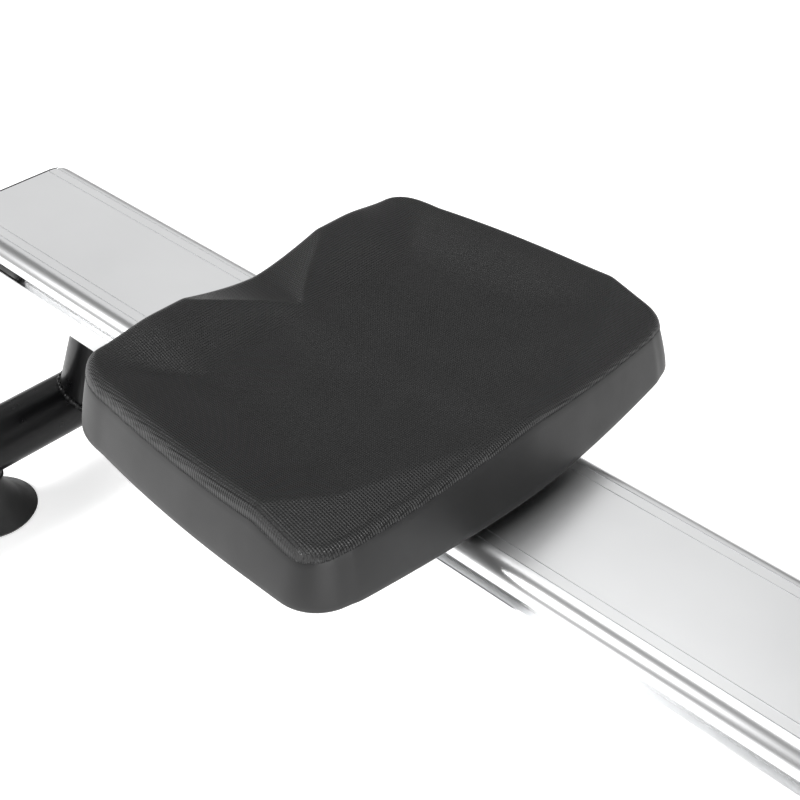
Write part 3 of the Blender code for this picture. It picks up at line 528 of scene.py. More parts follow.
SEAT_POCKET = (0.76, 0.72)   # share of the outline that the underside's recess takes


def ease(value):
    value = min(1.0, max(0.0, value))
    return value * value * (3 - 2 * value)


def lower_of(a, b, width):
    """The smaller of two heights, with the crease between them rounded."""
    share = min(1.0, max(0.0, 0.5 + 0.5 * (b - a) / width))
    return b * (1 - share) + a * share - width * share * (1 - share)


def seat_level(behind, across):
    """Height of the seat's top above the rail, at a place behind its front edge."""
    across = abs(across)
    height, start, run = SEAT_RISES["back"]
    fall, fall_start, fall_run = SEAT_CORNER_FALL
    back = height * ease((behind - start) / run)
    back = max(0.0, back - fall * ease((across - fall_start) / fall_run))
    height, start, run = SEAT_RISES["front"]
    front = height * ease((start - behind) / run)
    height, start, run = SEAT_RISES["side"]
    side = height * ease((across - start) / run)
    power = 2.5
    rise = (back ** power + front ** power + side ** power) ** (1 / power)
    main = SEAT_BOWL + rise + SEAT_RIDGE[0] * math.exp(-(across / SEAT_RIDGE[1]) ** 2)
    share = (behind - NOTCH_APEX) / NOTCH_RUN
    level, slope, spread = NOTCH_LEVELS
    if share > 0.0:
        half = NOTCH_HALF * max(share, 0.02) ** 0.55
        notch = level + slope * share + spread * (across / half) ** 1.5
        main = lower_of(main, notch, 0.0007)
    x0, y0, x1, y1 = THIGH_CREASE
    run = math.hypot(x1 - x0, y1 - y0)
    beyond = ((y0 - y1) * (x0 - behind) + (x0 - x1) * (across - y0)) / run
    return lower_of(main, THIGH_LEVEL - THIGH_SLOPE * beyond, 0.0012)


class SeatOutline:
    """The seat's outline in plan, read at a place between 0 and 8 round its four sides."""

    def __init__(self):
        low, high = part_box("seat_pad")
        self.front = high.x
        self.rear = low.x
        self.half = high.y
        self.middle = Vector(((low.x + high.x) / 2, 0.0))
        parts = [self.front_half(), self.side(), self.rear_half()]
        places = np.concatenate([np.linspace(start, end, len(part), endpoint=False)
                                 for part, start, end in zip(parts, (0, 1, 3), (1, 3, 4))])
        points = np.concatenate(parts)
        mirrored = points[:0:-1] * (1, -1)
        self.places = np.concatenate([places, 8 - places[:0:-1]])
        self.points = self.smoothed(np.concatenate([points, mirrored]))
        run = np.roll(self.points, -1, 0) - np.roll(self.points, 1, 0)
        run /= np.linalg.norm(run, axis=1)[:, None]
        self.inward = np.stack([-run[:, 1], run[:, 0]], 1)

    @staticmethod
    def smoothed(points, rounds=14):
        for _ in range(rounds):
            points = points * 0.5 + (np.roll(points, 1, 0) + np.roll(points, -1, 0)) * 0.25
        return points

    @staticmethod
    def even(points, count):
        """A polyline's points spaced evenly along it."""
        points = np.array(points)
        steps = np.linalg.norm(np.diff(points, axis=0), axis=1)
        along = np.concatenate([[0.0], np.cumsum(steps)])
        wanted = np.linspace(0.0, along[-1], count, endpoint=False)
        return np.stack([np.interp(wanted, along, points[:, i]) for i in (0, 1)], 1)

    def corner(self, start, end):
        turns = np.radians(np.linspace(start, end, 20))
        r = SEAT_FRONT_CORNER
        return [(self.front - SEAT_CORNER_BACK + r * math.cos(t), self.half - r + r * math.sin(t))
                for t in turns]

    def rear_corner(self, start, end):
        turns = np.radians(np.linspace(start, end, 20))
        x = self.front - SEAT_SIDE_END
        y = self.side_at(x)
        return [(x - (x - self.rear) * math.sin(t), y - SEAT_REAR_CORNER * (1 - math.cos(t)))
                for t in turns]

    def side_at(self, x):
        drawn = max(0.0, self.front - SEAT_TAPER_START - x) / SEAT_TAPER_RUN
        return self.half - SEAT_TAPER * drawn ** 2

    def front_half(self):
        ends = self.half - SEAT_FRONT_CORNER
        edge = [(self.front - SEAT_FRONT_BOW * (y / SEAT_BOW_REACH) ** 1.6, y)
                for y in np.linspace(0.0, ends, 40)]
        return self.even(edge + self.corner(4, 45), 160)

    def side(self):
        xs = np.linspace(self.front - SEAT_CORNER_BACK - 0.002, self.front - SEAT_SIDE_END, 50)
        edge = [(x, self.side_at(x)) for x in xs]
        return self.even(self.corner(45, 90) + edge + self.rear_corner(2, 45), 240)

    def rear_half(self):
        corner = self.rear_corner(45, 90)
        edge = [(self.rear, y) for y in np.linspace(corner[-1][1], 0.0, 30)[1:]]
        return self.even(corner + edge, 150)

    def at(self, place, inset=0.0):
        """The outline's point at a place, moved inwards."""
        place = place % 8
        found = []
        for i in (0, 1):
            there = np.interp(place, self.places, self.points[:, i], period=8)
            lean = np.interp(place, self.places, self.inward[:, i], period=8)
            found.append(there + lean * inset)
        return Vector(found)


def square_place(a, b):
    """Where the ray through (a, b) leaves a square, counted 0 to 8 from its front's middle."""
    reach = max(abs(a), abs(b), 1e-9)
    a, b = a / reach, b / reach
    side = 1 if b >= 0 else -1
    across = abs(b)
    if a >= across:
        place = across
    elif a <= -across:
        place = 4 - across
    else:
        place = 2 - a
    return place if side > 0 else 8 - place


def grown_ring(bm, edges):
    """Extrude a ring of edges in place and give the new ring's points and edges."""
    grown = bmesh.ops.extrude_edge_only(bm, edges=edges)["geom"]
    verts = [v for v in grown if isinstance(v, bmesh.types.BMVert)]
    fresh = set(verts)
    ring = [e for e in grown if isinstance(e, bmesh.types.BMEdge) and set(e.verts) <= fresh]
    return verts, ring


def seat_rings(settings, outline, datum):
    """The rings below the seat's top, as (placing function, skin value) from the top down."""
    bead = settings.wall_inset + 0.0003
    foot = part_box("seat_pad")[0].z

    def around(place):
        place = place if place <= 4 else 8 - place
        beside = ease((place - 0.75) / 0.5) * (1 - ease((place - 2.8) / 0.6))
        behind = ease((place - 2.8) / 0.6)
        return beside, behind

    def roll(place):
        beside, behind = around(place)
        plain = 1 - beside - behind
        return (settings.front_roll * plain + settings.side_roll * beside
                + settings.rear_roll * behind)

    def rim(place):
        spot = outline.at(place, 0.014)
        return datum + seat_level(outline.front - spot.x, spot.y)

    def rolled(share):
        turn = share * math.pi / 2

        def place_it(place):
            spot = outline.at(place, 0.014 - (0.014 - bead) * math.sin(turn))
            return (*spot, rim(place) - roll(place) * (1 - math.cos(turn)))
        return place_it

    def beaded(inset, drop):
        return lambda place: (*outline.at(place, inset), rim(place) - roll(place) - drop)

    def walled(share):
        def place_it(place):
            top = rim(place) - roll(place) - 0.0019
            low = foot + 0.0015
            spot = outline.at(place, settings.wall_inset * (1 - share) ** 1.25)
            return (*spot, top + (low - top) * share)
        return place_it

    def footed(inset, height):
        return lambda place: (*outline.at(place, inset), foot + height)

    def shrunk(share, height):
        def place_it(place):
            spot = outline.middle + (outline.at(place) - outline.middle) * share
            return (*spot, height)
        return place_it

    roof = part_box("carriage_plate")[1].z + 0.0006
    rings = [(rolled(i / 8), 1.0) for i in range(1, 9)]
    rings += [(beaded(bead - 0.0004, 0.0004), 0.5), (beaded(bead + 0.0001, 0.0010), 0.0),
              (beaded(bead - 0.0003, 0.0018), 0.0)]
    rings += [(walled(i / 10), 0.0) for i in range(1, 11)]
    rings += [(footed(0.0004, 0.0005), 0.0), (footed(0.0015, 0.0), 0.0), (footed(0.008, 0.0), 0.0),
              (shrunk(SEAT_POCKET[0] + 0.012, foot), 0.0),
              (shrunk(SEAT_POCKET[0], foot + 0.002), 0.0),
              (shrunk(SEAT_POCKET[1] + 0.006, roof - 0.002), 0.0),
              (shrunk(SEAT_POCKET[1], roof), 0.0)]
    return rings


def build_seat(settings):
    """The moulded seat: a dished top, rolled edges, a leaning wall and a recess underneath."""
    outline = SeatOutline()
    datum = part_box("rail")[1].z
    bm = bmesh.new()
    around = bm.verts.layers.float.new("around")
    skin = bm.verts.layers.float.new("skin")
    bmesh.ops.create_grid(bm, x_segments=settings.cells, y_segments=settings.cells, size=1.0)
    for v in bm.verts:
        reach = max(abs(v.co.x), abs(v.co.y))
        v[around] = square_place(v.co.x, v.co.y)
        v[skin] = 1.0
        edge = outline.at(v[around], 0.014)
        spot = outline.middle + (edge - outline.middle) * reach
        v.co = (*spot, datum + seat_level(outline.front - spot.x, spot.y))
    ring = [e for e in bm.edges if e.is_boundary]
    for place_it, value in seat_rings(settings, outline, datum):
        verts, ring = grown_ring(bm, ring)
        for v in verts:
            v.co = place_it(v[around])
            v[skin] = value
    bmesh.ops.contextual_create(bm, geom=ring)
    bmesh.ops.recalc_face_normals(bm, faces=bm.faces)
    made = piece(bm, "seat_cushion", "seat_foam", "carriage", ("seat_pad",), 50.0)


# rail -------------------------------------------------------------------------------

RAIL_GROOVES = (0.0374, 0.0450)
RAIL_GROOVE_HALF = 0.0005
CHANNEL_TOP = 0.0135
CHANNEL_BOTTOM = 0.0245
CHANNEL_WALL = 0.0500
RAIL_LIP = 0.0550


def rail_half(settings, half):
    """The rail's outer outline on one side, from the top's middle down to the underside."""
    line = [(0.0, 0.0), (0.012, 0.0), (0.024, 0.0), (0.033, 0.0)]
    for y in RAIL_GROOVES:
        g = RAIL_GROOVE_HALF
        line += [(y - g, 0.0), (y - g * 0.5, -settings.groove_depth),
                 (y + g * 0.5, -settings.groove_depth), (y + g, 0.0)]
        if y == RAIL_GROOVES[0]:
            line += [(0.0395, 0.0), (0.0415, 0.0), (0.0432, 0.0)]
    r = settings.edge_radius
    flat = half - r
    for i in range(1, 15):
        turn = math.pi / 2 * i / 14
        line.append((flat + r * math.sin(turn) + 0.0006 * (1 - i / 14), -r * (1 - math.cos(turn))))
    line += [(half, -CHANNEL_TOP + 0.0004), (half - 0.0004, -CHANNEL_TOP)]
    line += [(y, -CHANNEL_TOP) for y in (0.0555, 0.0540, 0.0520)]
    line += [(CHANNEL_WALL, -CHANNEL_TOP), (CHANNEL_WALL, -CHANNEL_BOTTOM)]
    line += [(y, -CHANNEL_BOTTOM) for y in (0.0515, 0.0530)]
    line += [(RAIL_LIP - 0.0005, -CHANNEL_BOTTOM), (RAIL_LIP, -CHANNEL_BOTTOM - 0.0005)]
    return line


def build_rail(settings):
    """The rail's extrusion, with its rear corners rounded in plan."""
    low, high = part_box("rail")
    height = high.z - low.z
    half_line = rail_half(settings, high.y)
    half_line += [(RAIL_LIP, -height + 0.001), (RAIL_LIP - 0.001, -height)]
    half_line += [(y, -height) for y in (0.048, 0.040, 0.020)]
    outer = half_line[::-1] + [(-y, z) for y, z in half_line[1:]]
    inner_y = CHANNEL_WALL - settings.wall
    inner = [(y, z) for y in np.linspace(-inner_y, inner_y, 13) for z in (-settings.wall,)]
    inner += [(y, -height + settings.wall) for y in np.linspace(inner_y, -inner_y, 13)]
    bm = bmesh.new()
    edges = []
    for line in (outer, inner):
        ring = [bm.verts.new((low.x, y, high.z + z)) for y, z in line]
        edges += [bm.edges.new((ring[i], ring[(i + 1) % len(ring)])) for i in range(len(ring))]
    bmesh.ops.bridge_loops(bm, edges=edges)
    grown = bmesh.ops.extrude_face_region(bm, geom=bm.faces[:])
    far = [v for v in grown["geom"] if isinstance(v, bmesh.types.BMVert)]
    near = set(bm.verts) - set(far)
    bmesh.ops.translate(bm, vec=(high.x - low.x, 0, 0), verts=far)
    r = settings.corner_radius
    for v in near:
        v.co.x += corner_depth(abs(v.co.y) - (high.y - r), r)
    bmesh.ops.recalc_face_normals(bm, faces=bm.faces)
    piece(bm, "rail_extrusion", "anodised_aluminium", "frame", ("rail",), 30.0)
    build_end_strip(settings, high.y)
    for end in ("rear", "front"):
        for _, side in SIDES:
            node = f"rail_stop_{end}_{side}"
            a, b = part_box(node)
            bm = block(a, b, 0.0042, 6)
            piece(bm, f"stop_pad_{end}_{side}", "black_rubber", "frame", (node,))


def corner_depth(past, radius):
    """How far a rounded corner falls back at a distance past the start of its rounding."""
    past = min(radius, max(0.0, past))
    return radius - math.sqrt(radius * radius - past * past)


def build_end_strip(settings, half):
    """The thin black strip that closes the rail's rear end and follows its rounded corners."""
    low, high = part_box("rail_end_cap")
    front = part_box("rail")[0].x - 0.0003
    reach = half - 0.0015
    places = [(corner_depth(abs(y) - (half - settings.corner_radius), settings.corner_radius), y)
              for y in np.linspace(-reach, reach, 49)]
    outline = [(front + back, y) for back, y in places]
    outline += [(low.x + back, y) for back, y in places[::-1]]
    bm = slab(outline, "Z", low.z, high.z)
    for v in bm.verts:
        if v.co.z > high.z - TINY:
            v.co.z -= corner_depth(abs(v.co.y) - (half - settings.edge_radius),
                                   settings.edge_radius) + 0.0004
    piece(bm, "rail_end_strip", "black_rubber", "frame", ("rail_end_cap",))


# rear stand -------------------------------------------------------------------------

def build_rear_stand(settings):
    """The painted cross tube with its caps, the leaning post with its weld, and the bell feet."""
    low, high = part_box("rear_stabiliser_tube")
    centre = middle("rear_stabiliser_tube")
    radius = (high.z - low.z) / 2
    half = high.y
    wall = 0.002
    profile = [(radius - wall, -half), (radius, -half), (radius, half), (radius - wall, half)]
    profile = rounded_profile(profile, (1, 2), 0.0008, 3)
    bm = spun(profile, centre, (0, 1, 0), 72, closed=True)
    piece(bm, "rear_cross_tube", "black_paint", "frame", ("rear_stabiliser_tube",))
    for side, label in SIDES:
        node = f"rear_end_cap_{label}"
        a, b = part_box(node)
        r = (b.z - a.z) / 2
        start, end = sorted((abs(a.y), abs(b.y)))
        profile = [(0, start), (r, start), (r, end - 0.006), (r - 0.005, end), (0, end)]
        profile = rounded_profile(profile, (1, 2, 3), 0.003, 6)
        plug = spun(profile, (centre.x, 0, centre.z), (0, side, 0), 72)
        dimple = [(r * 0.35, end - 0.0002), (r * 0.42, end + 0.0007), (r * 0.49, end - 0.0002)]
        added(plug, spun(dimple, (centre.x, 0, centre.z), (0, side, 0), 48, closed=True))
        piece(plug, f"cross_tube_plug_{label}", "black_rubber", "frame", (node,))
        build_bell_foot(label, centre, radius)
    build_rear_post(settings, centre, radius)


def build_bell_foot(label, centre, tube_radius):
    node = f"rear_foot_{label}"
    a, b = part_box(node)
    y = (a.y + b.y) / 2
    rim = (b.x - a.x) / 2
    neck = rim * 0.39
    top = centre.z - tube_radius * 0.75
    profile = [(0, 0.0006), (rim * 0.55, 0.0006), (rim * 0.60, 0), (rim - 0.002, 0), (rim, 0.003)]
    for i in range(1, 13):
        share = i / 12
        drop = (1 - share) ** 1.9
        profile.append((neck + (rim - neck) * drop, 0.003 + 0.031 * share))
    profile += [(neck, top), (0, top)]
    bm = spun(rounded_profile(profile, (3,), 0.001, 3), (centre.x, y, 0), (0, 0, 1), 72)
    groove = [(neck - 0.001, 0.0355), (neck + 0.0012, 0.0362), (neck + 0.0012, 0.0375),
              (neck - 0.001, 0.0382)]
    added(bm, spun(groove, (centre.x, y, 0), (0, 0, 1), 72, closed=True))
    piece(bm, f"bell_foot_{label}", "black_rubber", "frame", (node,))


def build_rear_post(settings, centre, tube_radius):
    low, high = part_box("rear_post")
    plate_low = high.z - 0.005
    half_x = 0.055
    top = Vector((high.x - half_x, 0.0, plate_low + 0.002))
    foot = Vector((centre.x + 0.004, 0.0, centre.z))
    lean = (top - foot).normalized()
    radius = 0.019
    start = tube_radius * 0.72
    length = (top - foot).length
    bm = spun([(0, start), (radius, start), (radius, length), (0, length)], foot, lean, 64)
    plate = block((top.x - half_x, -0.045, plate_low), (top.x + half_x, 0.045, high.z), 0.0012)
    added(bm, plate)
    for along in (-1, 1):
        for side in (-1, 1):
            spot = (top.x + along * 0.043, side * 0.034, plate_low + 0.0002)
            added(bm, bolt_head(spot, (0, 0, -1), 0.0055, 0.0035))
    piece(bm, "rear_post_weldment", "black_paint", "frame", ("rear_post",))
    bead = weld_ring(foot, lean, radius, centre, tube_radius, settings.weld_radius)
    piece(bead, "rear_post_weld", "black_paint", "frame")


def weld_ring(foot, lean, radius, centre, tube_radius, thick):
    """A rippled bead where a leaning round post meets a cross tube."""
    along_y = Vector((0, 1, 0))
    side = along_y.cross(lean).normalized()
    steps = 96
    bm = bmesh.new()
    bmesh.ops.create_circle(bm, segments=10, radius=thick)
    bmesh.ops.rotate(bm, matrix=Matrix.Rotation(math.pi / 2, 3, "X"), verts=bm.verts)
    bmesh.ops.translate(bm, vec=(radius, 0, 0), verts=bm.verts)
    bmesh.ops.spin(bm, geom=bm.verts[:] + bm.edges[:], cent=(0, 0, 0), axis=(0, 0, 1),
                   angle=math.tau, steps=steps, use_merge=True)
    bmesh.ops.remove_doubles(bm, verts=bm.verts, dist=TINY)
    for v in bm.verts:
        turn = math.atan2(v.co.y, v.co.x)
        out = math.hypot(v.co.x, v.co.y) - radius
        swell = 1.0 + 0.16 * math.sin(turn * 26)
        ray = side * math.cos(turn) + along_y * math.sin(turn)
        rim = foot + ray * radius - centre
        rim.y = 0.0
        towards = rim.dot(lean)
        reach = -towards + math.sqrt(max(0.0, towards ** 2 - rim.length_squared + tube_radius ** 2))
        v.co = foot + ray * (radius + out * swell) + lean * (reach + v.co.z * swell)
    bmesh.ops.recalc_face_normals(bm, faces=bm.faces)
    return bm


def bolt_head(place, axis, radius, height, sides=6):
    """A hexagon head on a thin washer, standing on a face."""
    axis = Vector(axis).normalized()
    place = Vector(place)
    washer = spun([(0, 0), (radius * 1.35, 0), (radius * 1.35, height * 0.25),
                   (0, height * 0.25)], place, axis, 28)
    head = spun([(0, height * 0.2), (radius, height * 0.2), (radius, height * 0.9),
                 (radius * 0.85, height), (0, height)], place, axis, sides)
    return added(washer, head)


# carriage ---------------------------------------------------------------------------

def build_carriage():
    """The folded carriage plate, its axles and its rollers."""
    dressed("carriage_plate", "zinc_steel", 0.0008, 3, "carriage_channel")
    for _, end in ENDS:
        node = f"roller_axle_{end}"
        a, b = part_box(node)
        centre = (a + b) / 2
        radius = (b.z - a.z) / 2
        half = (b.y - a.y) / 2
        profile = [(0, -half), (radius, -half), (radius, half), (0, half)]
        bm = spun(rounded_profile(profile, (1, 2), 0.0006, 3), centre, (0, 1, 0), 32)
        piece(bm, f"roller_spindle_{end}", "zinc_steel", "carriage", (node,))
        for side, label in SIDES:
            build_top_roller(end, side, label, radius)
            build_low_roller(end, side, label)


def build_top_roller(end, side, label, axle):
    node = f"top_roller_{end}_{label}"
    a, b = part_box(node)
    centre = (a + b) / 2
    r = (b.z - a.z) / 2
    half = (b.y - a.y) / 2
    bore = axle + 0.0003
    profile = [(bore, -half), (r * 0.62, -half), (r * 0.66, -half + 0.0006), (r * 0.8, -half + 0.0006),
               (r * 0.84, -half), (r, -half), (r, half), (r * 0.84, half),
               (r * 0.8, half - 0.0006), (r * 0.66, half - 0.0006), (r * 0.62, half), (bore, half)]
    profile = rounded_profile(profile, (5, 6), 0.0012, 4)
    bm = spun(profile, centre, (0, 1, 0), 48, closed=True)
    piece(bm, f"top_wheel_{end}_{label}", "roller_white", node, (node,))


def build_low_roller(end, side, label):
    node = f"low_roller_{end}_{label}"
    a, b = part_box(node)
    centre = (a + b) / 2
    r = (b.z - a.z) / 2
    near, far = sorted((abs(a.y), abs(b.y)))
    profile = [(0, near), (r, near), (r, near + 0.0058), (0.0022, near + 0.0058), (0.0022, far),
               (0, far)]
    profile = rounded_profile(profile, (1, 2), 0.0008, 4)
    bm = spun(profile, (centre.x, 0, centre.z), (0, side, 0), 40)
    piece(bm, f"guide_wheel_{end}_{label}", "roller_white", node, (node,))


# front unit: shared shapes ----------------------------------------------------------

MAST_LEAN = math.radians(15.44)      # the mast leans back towards the rower
MAST_LENGTH = 0.394
PLATE_ANGLE = math.radians(50)       # the footplates' rise towards the toes
CONSOLE_TILT = math.radians(25)
LEAN = Vector((-math.sin(MAST_LEAN), 0.0, math.cos(MAST_LEAN)))


def belt_outline(first, r1, second, r2, steps=48):
    """A band stretched round two circles, given by their centres (a, b) and radii."""
    da, db = second[0] - first[0], second[1] - first[1]
    base = math.atan2(db, da)
    lean = math.acos((r1 - r2) / math.hypot(da, db))
    line = []
    for centre, r, start, end in ((second, r2, base - lean, base + lean),
                                  (first, r1, base + lean, base + math.tau - lean)):
        for i in range(steps + 1):
            turn = start + (end - start) * i / steps
            line.append((centre[0] + r * math.cos(turn), centre[1] + r * math.sin(turn)))
    return line


def rounded_rect(a0, a1, b0, b1, radius, steps=8):
    """A rectangle's outline with round corners, anticlockwise."""
    line = []
    centres = ((a1 - radius, b1 - radius), (a0 + radius, b1 - radius),
               (a0 + radius, b0 + radius), (a1 - radius, b0 + radius))
    for quarter, (a, b) in enumerate(centres):
        for i in range(steps + 1):
            turn = math.pi / 2 * (quarter + i / steps)
            line.append((a + radius * math.cos(turn), b + radius * math.sin(turn)))
    return line


def circle_line(a, b, radius, steps=48):
    return [(a + radius * math.cos(math.tau * i / steps),
             b + radius * math.sin(math.tau * i / steps)) for i in range(steps)]


def framed(outer, inner, axis, low, high, edge=0.0, segments=3):
    """A flat ring between two outlines, extruded between low and high."""
    bm = bmesh.new()
    edges = []
    for line in (outer, inner):
        ring = [bm.verts.new(set_at(axis, a, b, low)) for a, b in line]
        edges += [bm.edges.new((ring[i], ring[(i + 1) % len(ring)])) for i in range(len(ring))]
    bmesh.ops.bridge_loops(bm, edges=edges)
    grown = bmesh.ops.extrude_face_region(bm, geom=bm.faces[:])
    tips = [v for v in grown["geom"] if isinstance(v, bmesh.types.BMVert)]
    bmesh.ops.translate(bm, vec=Vector(set_at(axis, 0.0, 0.0, high - low)), verts=tips)
    bmesh.ops.recalc_face_normals(bm, faces=bm.faces)
    if edge:
        soften(bm, edge, segments)
    return bm


# drive housing ----------------------------------------------------------------------

SHELL_WALL = 0.003
RIM_SEGMENTS = 9
PANEL_MARGIN = 0.012         # from the rolled rim to the styling groove
GROOVE = 0.0014              # width and depth of the styling groove
TRIM_RING_R = 0.150          # inner radius of the trim ring round the flywheel
HUB_CAP_R = 0.026
VENTS = 14
VENT_STEP = 14               # degrees between neighbouring vents
FIRST_VENT = -62


def build_housing(settings):
    """Two moulded shells with a rolled rim, a styling groove, painted vent shade, a trim ring and
    screws.
    """
    hub, nose = joint_place("flywheel_spin"), joint_place("drum_spin")
    low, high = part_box("housing_left")
    big, small = high.x - hub.x, high.z - nose.z
    face = high.y
    for side, label in SIDES:
        outline = belt_outline((nose.x, nose.z), small, (hub.x, hub.z), big)
        bm = slab(outline, "Y", side * 0.0003, side * face)
        rim = [e for e in bm.edges if all(abs(abs(v.co.y) - face) < TINY for v in e.verts)]
        bmesh.ops.bevel(bm, geom=rim, offset=settings.housing_edge, offset_type="OFFSET",
                        segments=RIM_SEGMENTS, profile=0.5, affect="EDGES", material=-1)
        flat = [f for f in bm.faces if f.normal.y * side > 0.999 and len(f.verts) > 12]
        for inset, depth in ((PANEL_MARGIN, 0.0), (0.0012, -GROOVE), (GROOVE, 0.0), (0.0012, GROOVE)):
            bmesh.ops.inset_region(bm, faces=flat, thickness=inset, depth=depth,
                                   use_even_offset=True)
        seam = [f for f in bm.faces if all(abs(v.co.y) < 0.001 for v in f.verts)]
        bmesh.ops.delete(bm, geom=seam, context="FACES_ONLY")
        bmesh.ops.solidify(bm, geom=bm.faces[:], thickness=SHELL_WALL)
        soften(bm, 0.0006, 2, 1.2)
        piece(bm, f"housing_shell_{label}", "housing_plastic", "frame", (f"housing_{label}",), 32.0)
        trim = [(TRIM_RING_R + out, face + up) for out, up in
                ((0.0, -0.0004), (0.0, 0.0012), (0.002, 0.0018), (0.005, 0.0018),
                 (0.007, 0.0012), (0.007, -0.0004))]
        ring = spun(trim, (hub.x, 0, hub.z), (0, side, 0), 128, closed=True)
        piece(ring, f"housing_trim_ring_{label}", "accent_grey", "frame")
        cap = spun(rounded_profile([(0, face - 0.0004), (HUB_CAP_R, face - 0.0004),
                                    (HUB_CAP_R, face + 0.003), (0, face + 0.0042)], (2,), 0.002),
                   (hub.x, 0, hub.z), (0, side, 0), 72)
        piece(cap, f"housing_hub_cap_{label}", "trim_grey", "frame")
        build_vent_shade(hub, face, side, label)
        build_shell_screws(nose, hub, small, big, face, side, label)


def build_vent_shade(hub, face, side, label):
    """Painted shade of cooling slots: dark slabs on the shell in an arc round the flywheel's middle."""
    bm = bmesh.new()
    for i in range(VENTS):
        turn = math.radians(FIRST_VENT + VENT_STEP * i)
        slot = slab(belt_outline((0.058, 0.0), 0.0030, (0.112, 0.0), 0.0038, 8), "Y",
                    side * (face - 0.0005), side * (face + 0.0005), 0.0002, 1)
        place = Matrix.Translation((hub.x, 0, hub.z)) @ Matrix.Rotation(turn, 4, "Y")
        added(bm, laid(slot, place))
    piece(bm, f"housing_vent_shade_{label}", "black_rubber", "frame")


def build_shell_screws(nose, hub, small, big, face, side, label):
    """Cross-head screws round the shell's edge."""
    line = belt_outline((nose.x, nose.z), small - 0.027, (hub.x, hub.z), big - 0.027, 30)
    bm = bmesh.new()
    for i in range(4, len(line), 9):
        a, b = line[i]
        head = spun([(0, face - 0.0006), (0.0036, face - 0.0006), (0.0034, face + 0.0006),
                     (0.0022, face + 0.0013), (0.0009, face + 0.0015), (0.0009, face + 0.0004),
                     (0, face + 0.0004)], (a, 0, b), (0, side, 0), 28)
        added(bm, head)
    piece(bm, f"housing_screws_{label}", "zinc_steel", "frame")


def build_drive():
    """Flywheel, drum, belt and brake inside the housing, and the coil of strap on the drum."""
    for node, look in (("flywheel", "cast_flywheel"), ("strap_drum", "trim_grey"),
                       ("drive_belt", "black_rubber"), ("brake_arm", "zinc_steel"),
                       ("brake_pin", "zinc_steel"), ("flywheel_axle", "zinc_steel"),
                       ("drum_axle", "zinc_steel")):
        dressed(node, look, 0.0005)
    nose = joint_place("drum_spin")
    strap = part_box("pull_strap")
    core = (strap[0].z + strap[1].z) / 2 - nose.z - 0.0008
    half = strap[1].y - 0.0004
    profile = [(core - 0.0002, -half), (core, -half), (core, half), (core - 0.0002, half)]
    coil = spun([(r - 0.0006, t) for r, t in profile], nose, (0, 1, 0), 96, closed=True)
    piece(coil, "strap_first_turn", "webbing", "drum")


def build_knob():
    """The resistance knob with its ribs and pointer, and the dial ring under it."""
    place, axis = joint_place("knob_turn"), joint_axis("knob_turn").normalized()
    profile = [(0, -0.012), (0.005, -0.012), (0.005, 0.0012), (0.0225, 0.0012), (0.0238, 0.004),
               (0.0222, 0.018), (0.0200, 0.0222), (0.0120, 0.0228), (0, 0.0222)]
    bm = spun(rounded_profile(profile, (3, 5, 6), 0.0016, 4), place, axis, 144)
    side = axis.orthogonal().normalized()
    other = axis.cross(side)
    for v in bm.verts:
        arm = v.co - place
        height = arm.dot(axis)
        arm -= axis * height
        if arm.length > 0.0205 and 0.003 < height < 0.020:
            turn = math.atan2(arm.dot(other), arm.dot(side))
            v.co -= arm.normalized() * 0.0007 * (0.5 + 0.5 * math.cos(turn * 24))
    piece(bm, "resistance_dial_knob", "trim_grey", "knob", ("resistance_knob",), 45.0)
    to_knob = Matrix.Translation(place) @ axis.to_track_quat("Z", "X").to_matrix().to_4x4()
    pointer = laid(block((0.006, -0.0011, 0.0222), (0.019, 0.0011, 0.0232), 0.0004, 2), to_knob)
    piece(pointer, "resistance_pointer", "roller_white", "knob")
    ring = framed(circle_line(0, 0, 0.0330, 96), circle_line(0, 0, 0.0056, 96), "Z", -0.0006,
                  0.0008, 0.0003, 2)
    piece(laid(ring, to_knob), "resistance_dial_plate", "black_rubber", "frame")
    ticks = bmesh.new()
    for i in range(9):
        turn = math.radians(-135 + 270 * i / 8)
        long = 0.0315 if i % 2 == 0 else 0.0300
        tick = block((0.0268, -0.0005, 0.0007), (long, 0.0005, 0.00105), 0.0001, 1)
        added(ticks, laid(tick, to_knob @ Matrix.Rotation(turn, 4, "Z")))
    piece(ticks, "resistance_dial_ticks", "roller_white", "frame")


# side frame and front stand ---------------------------------------------------------

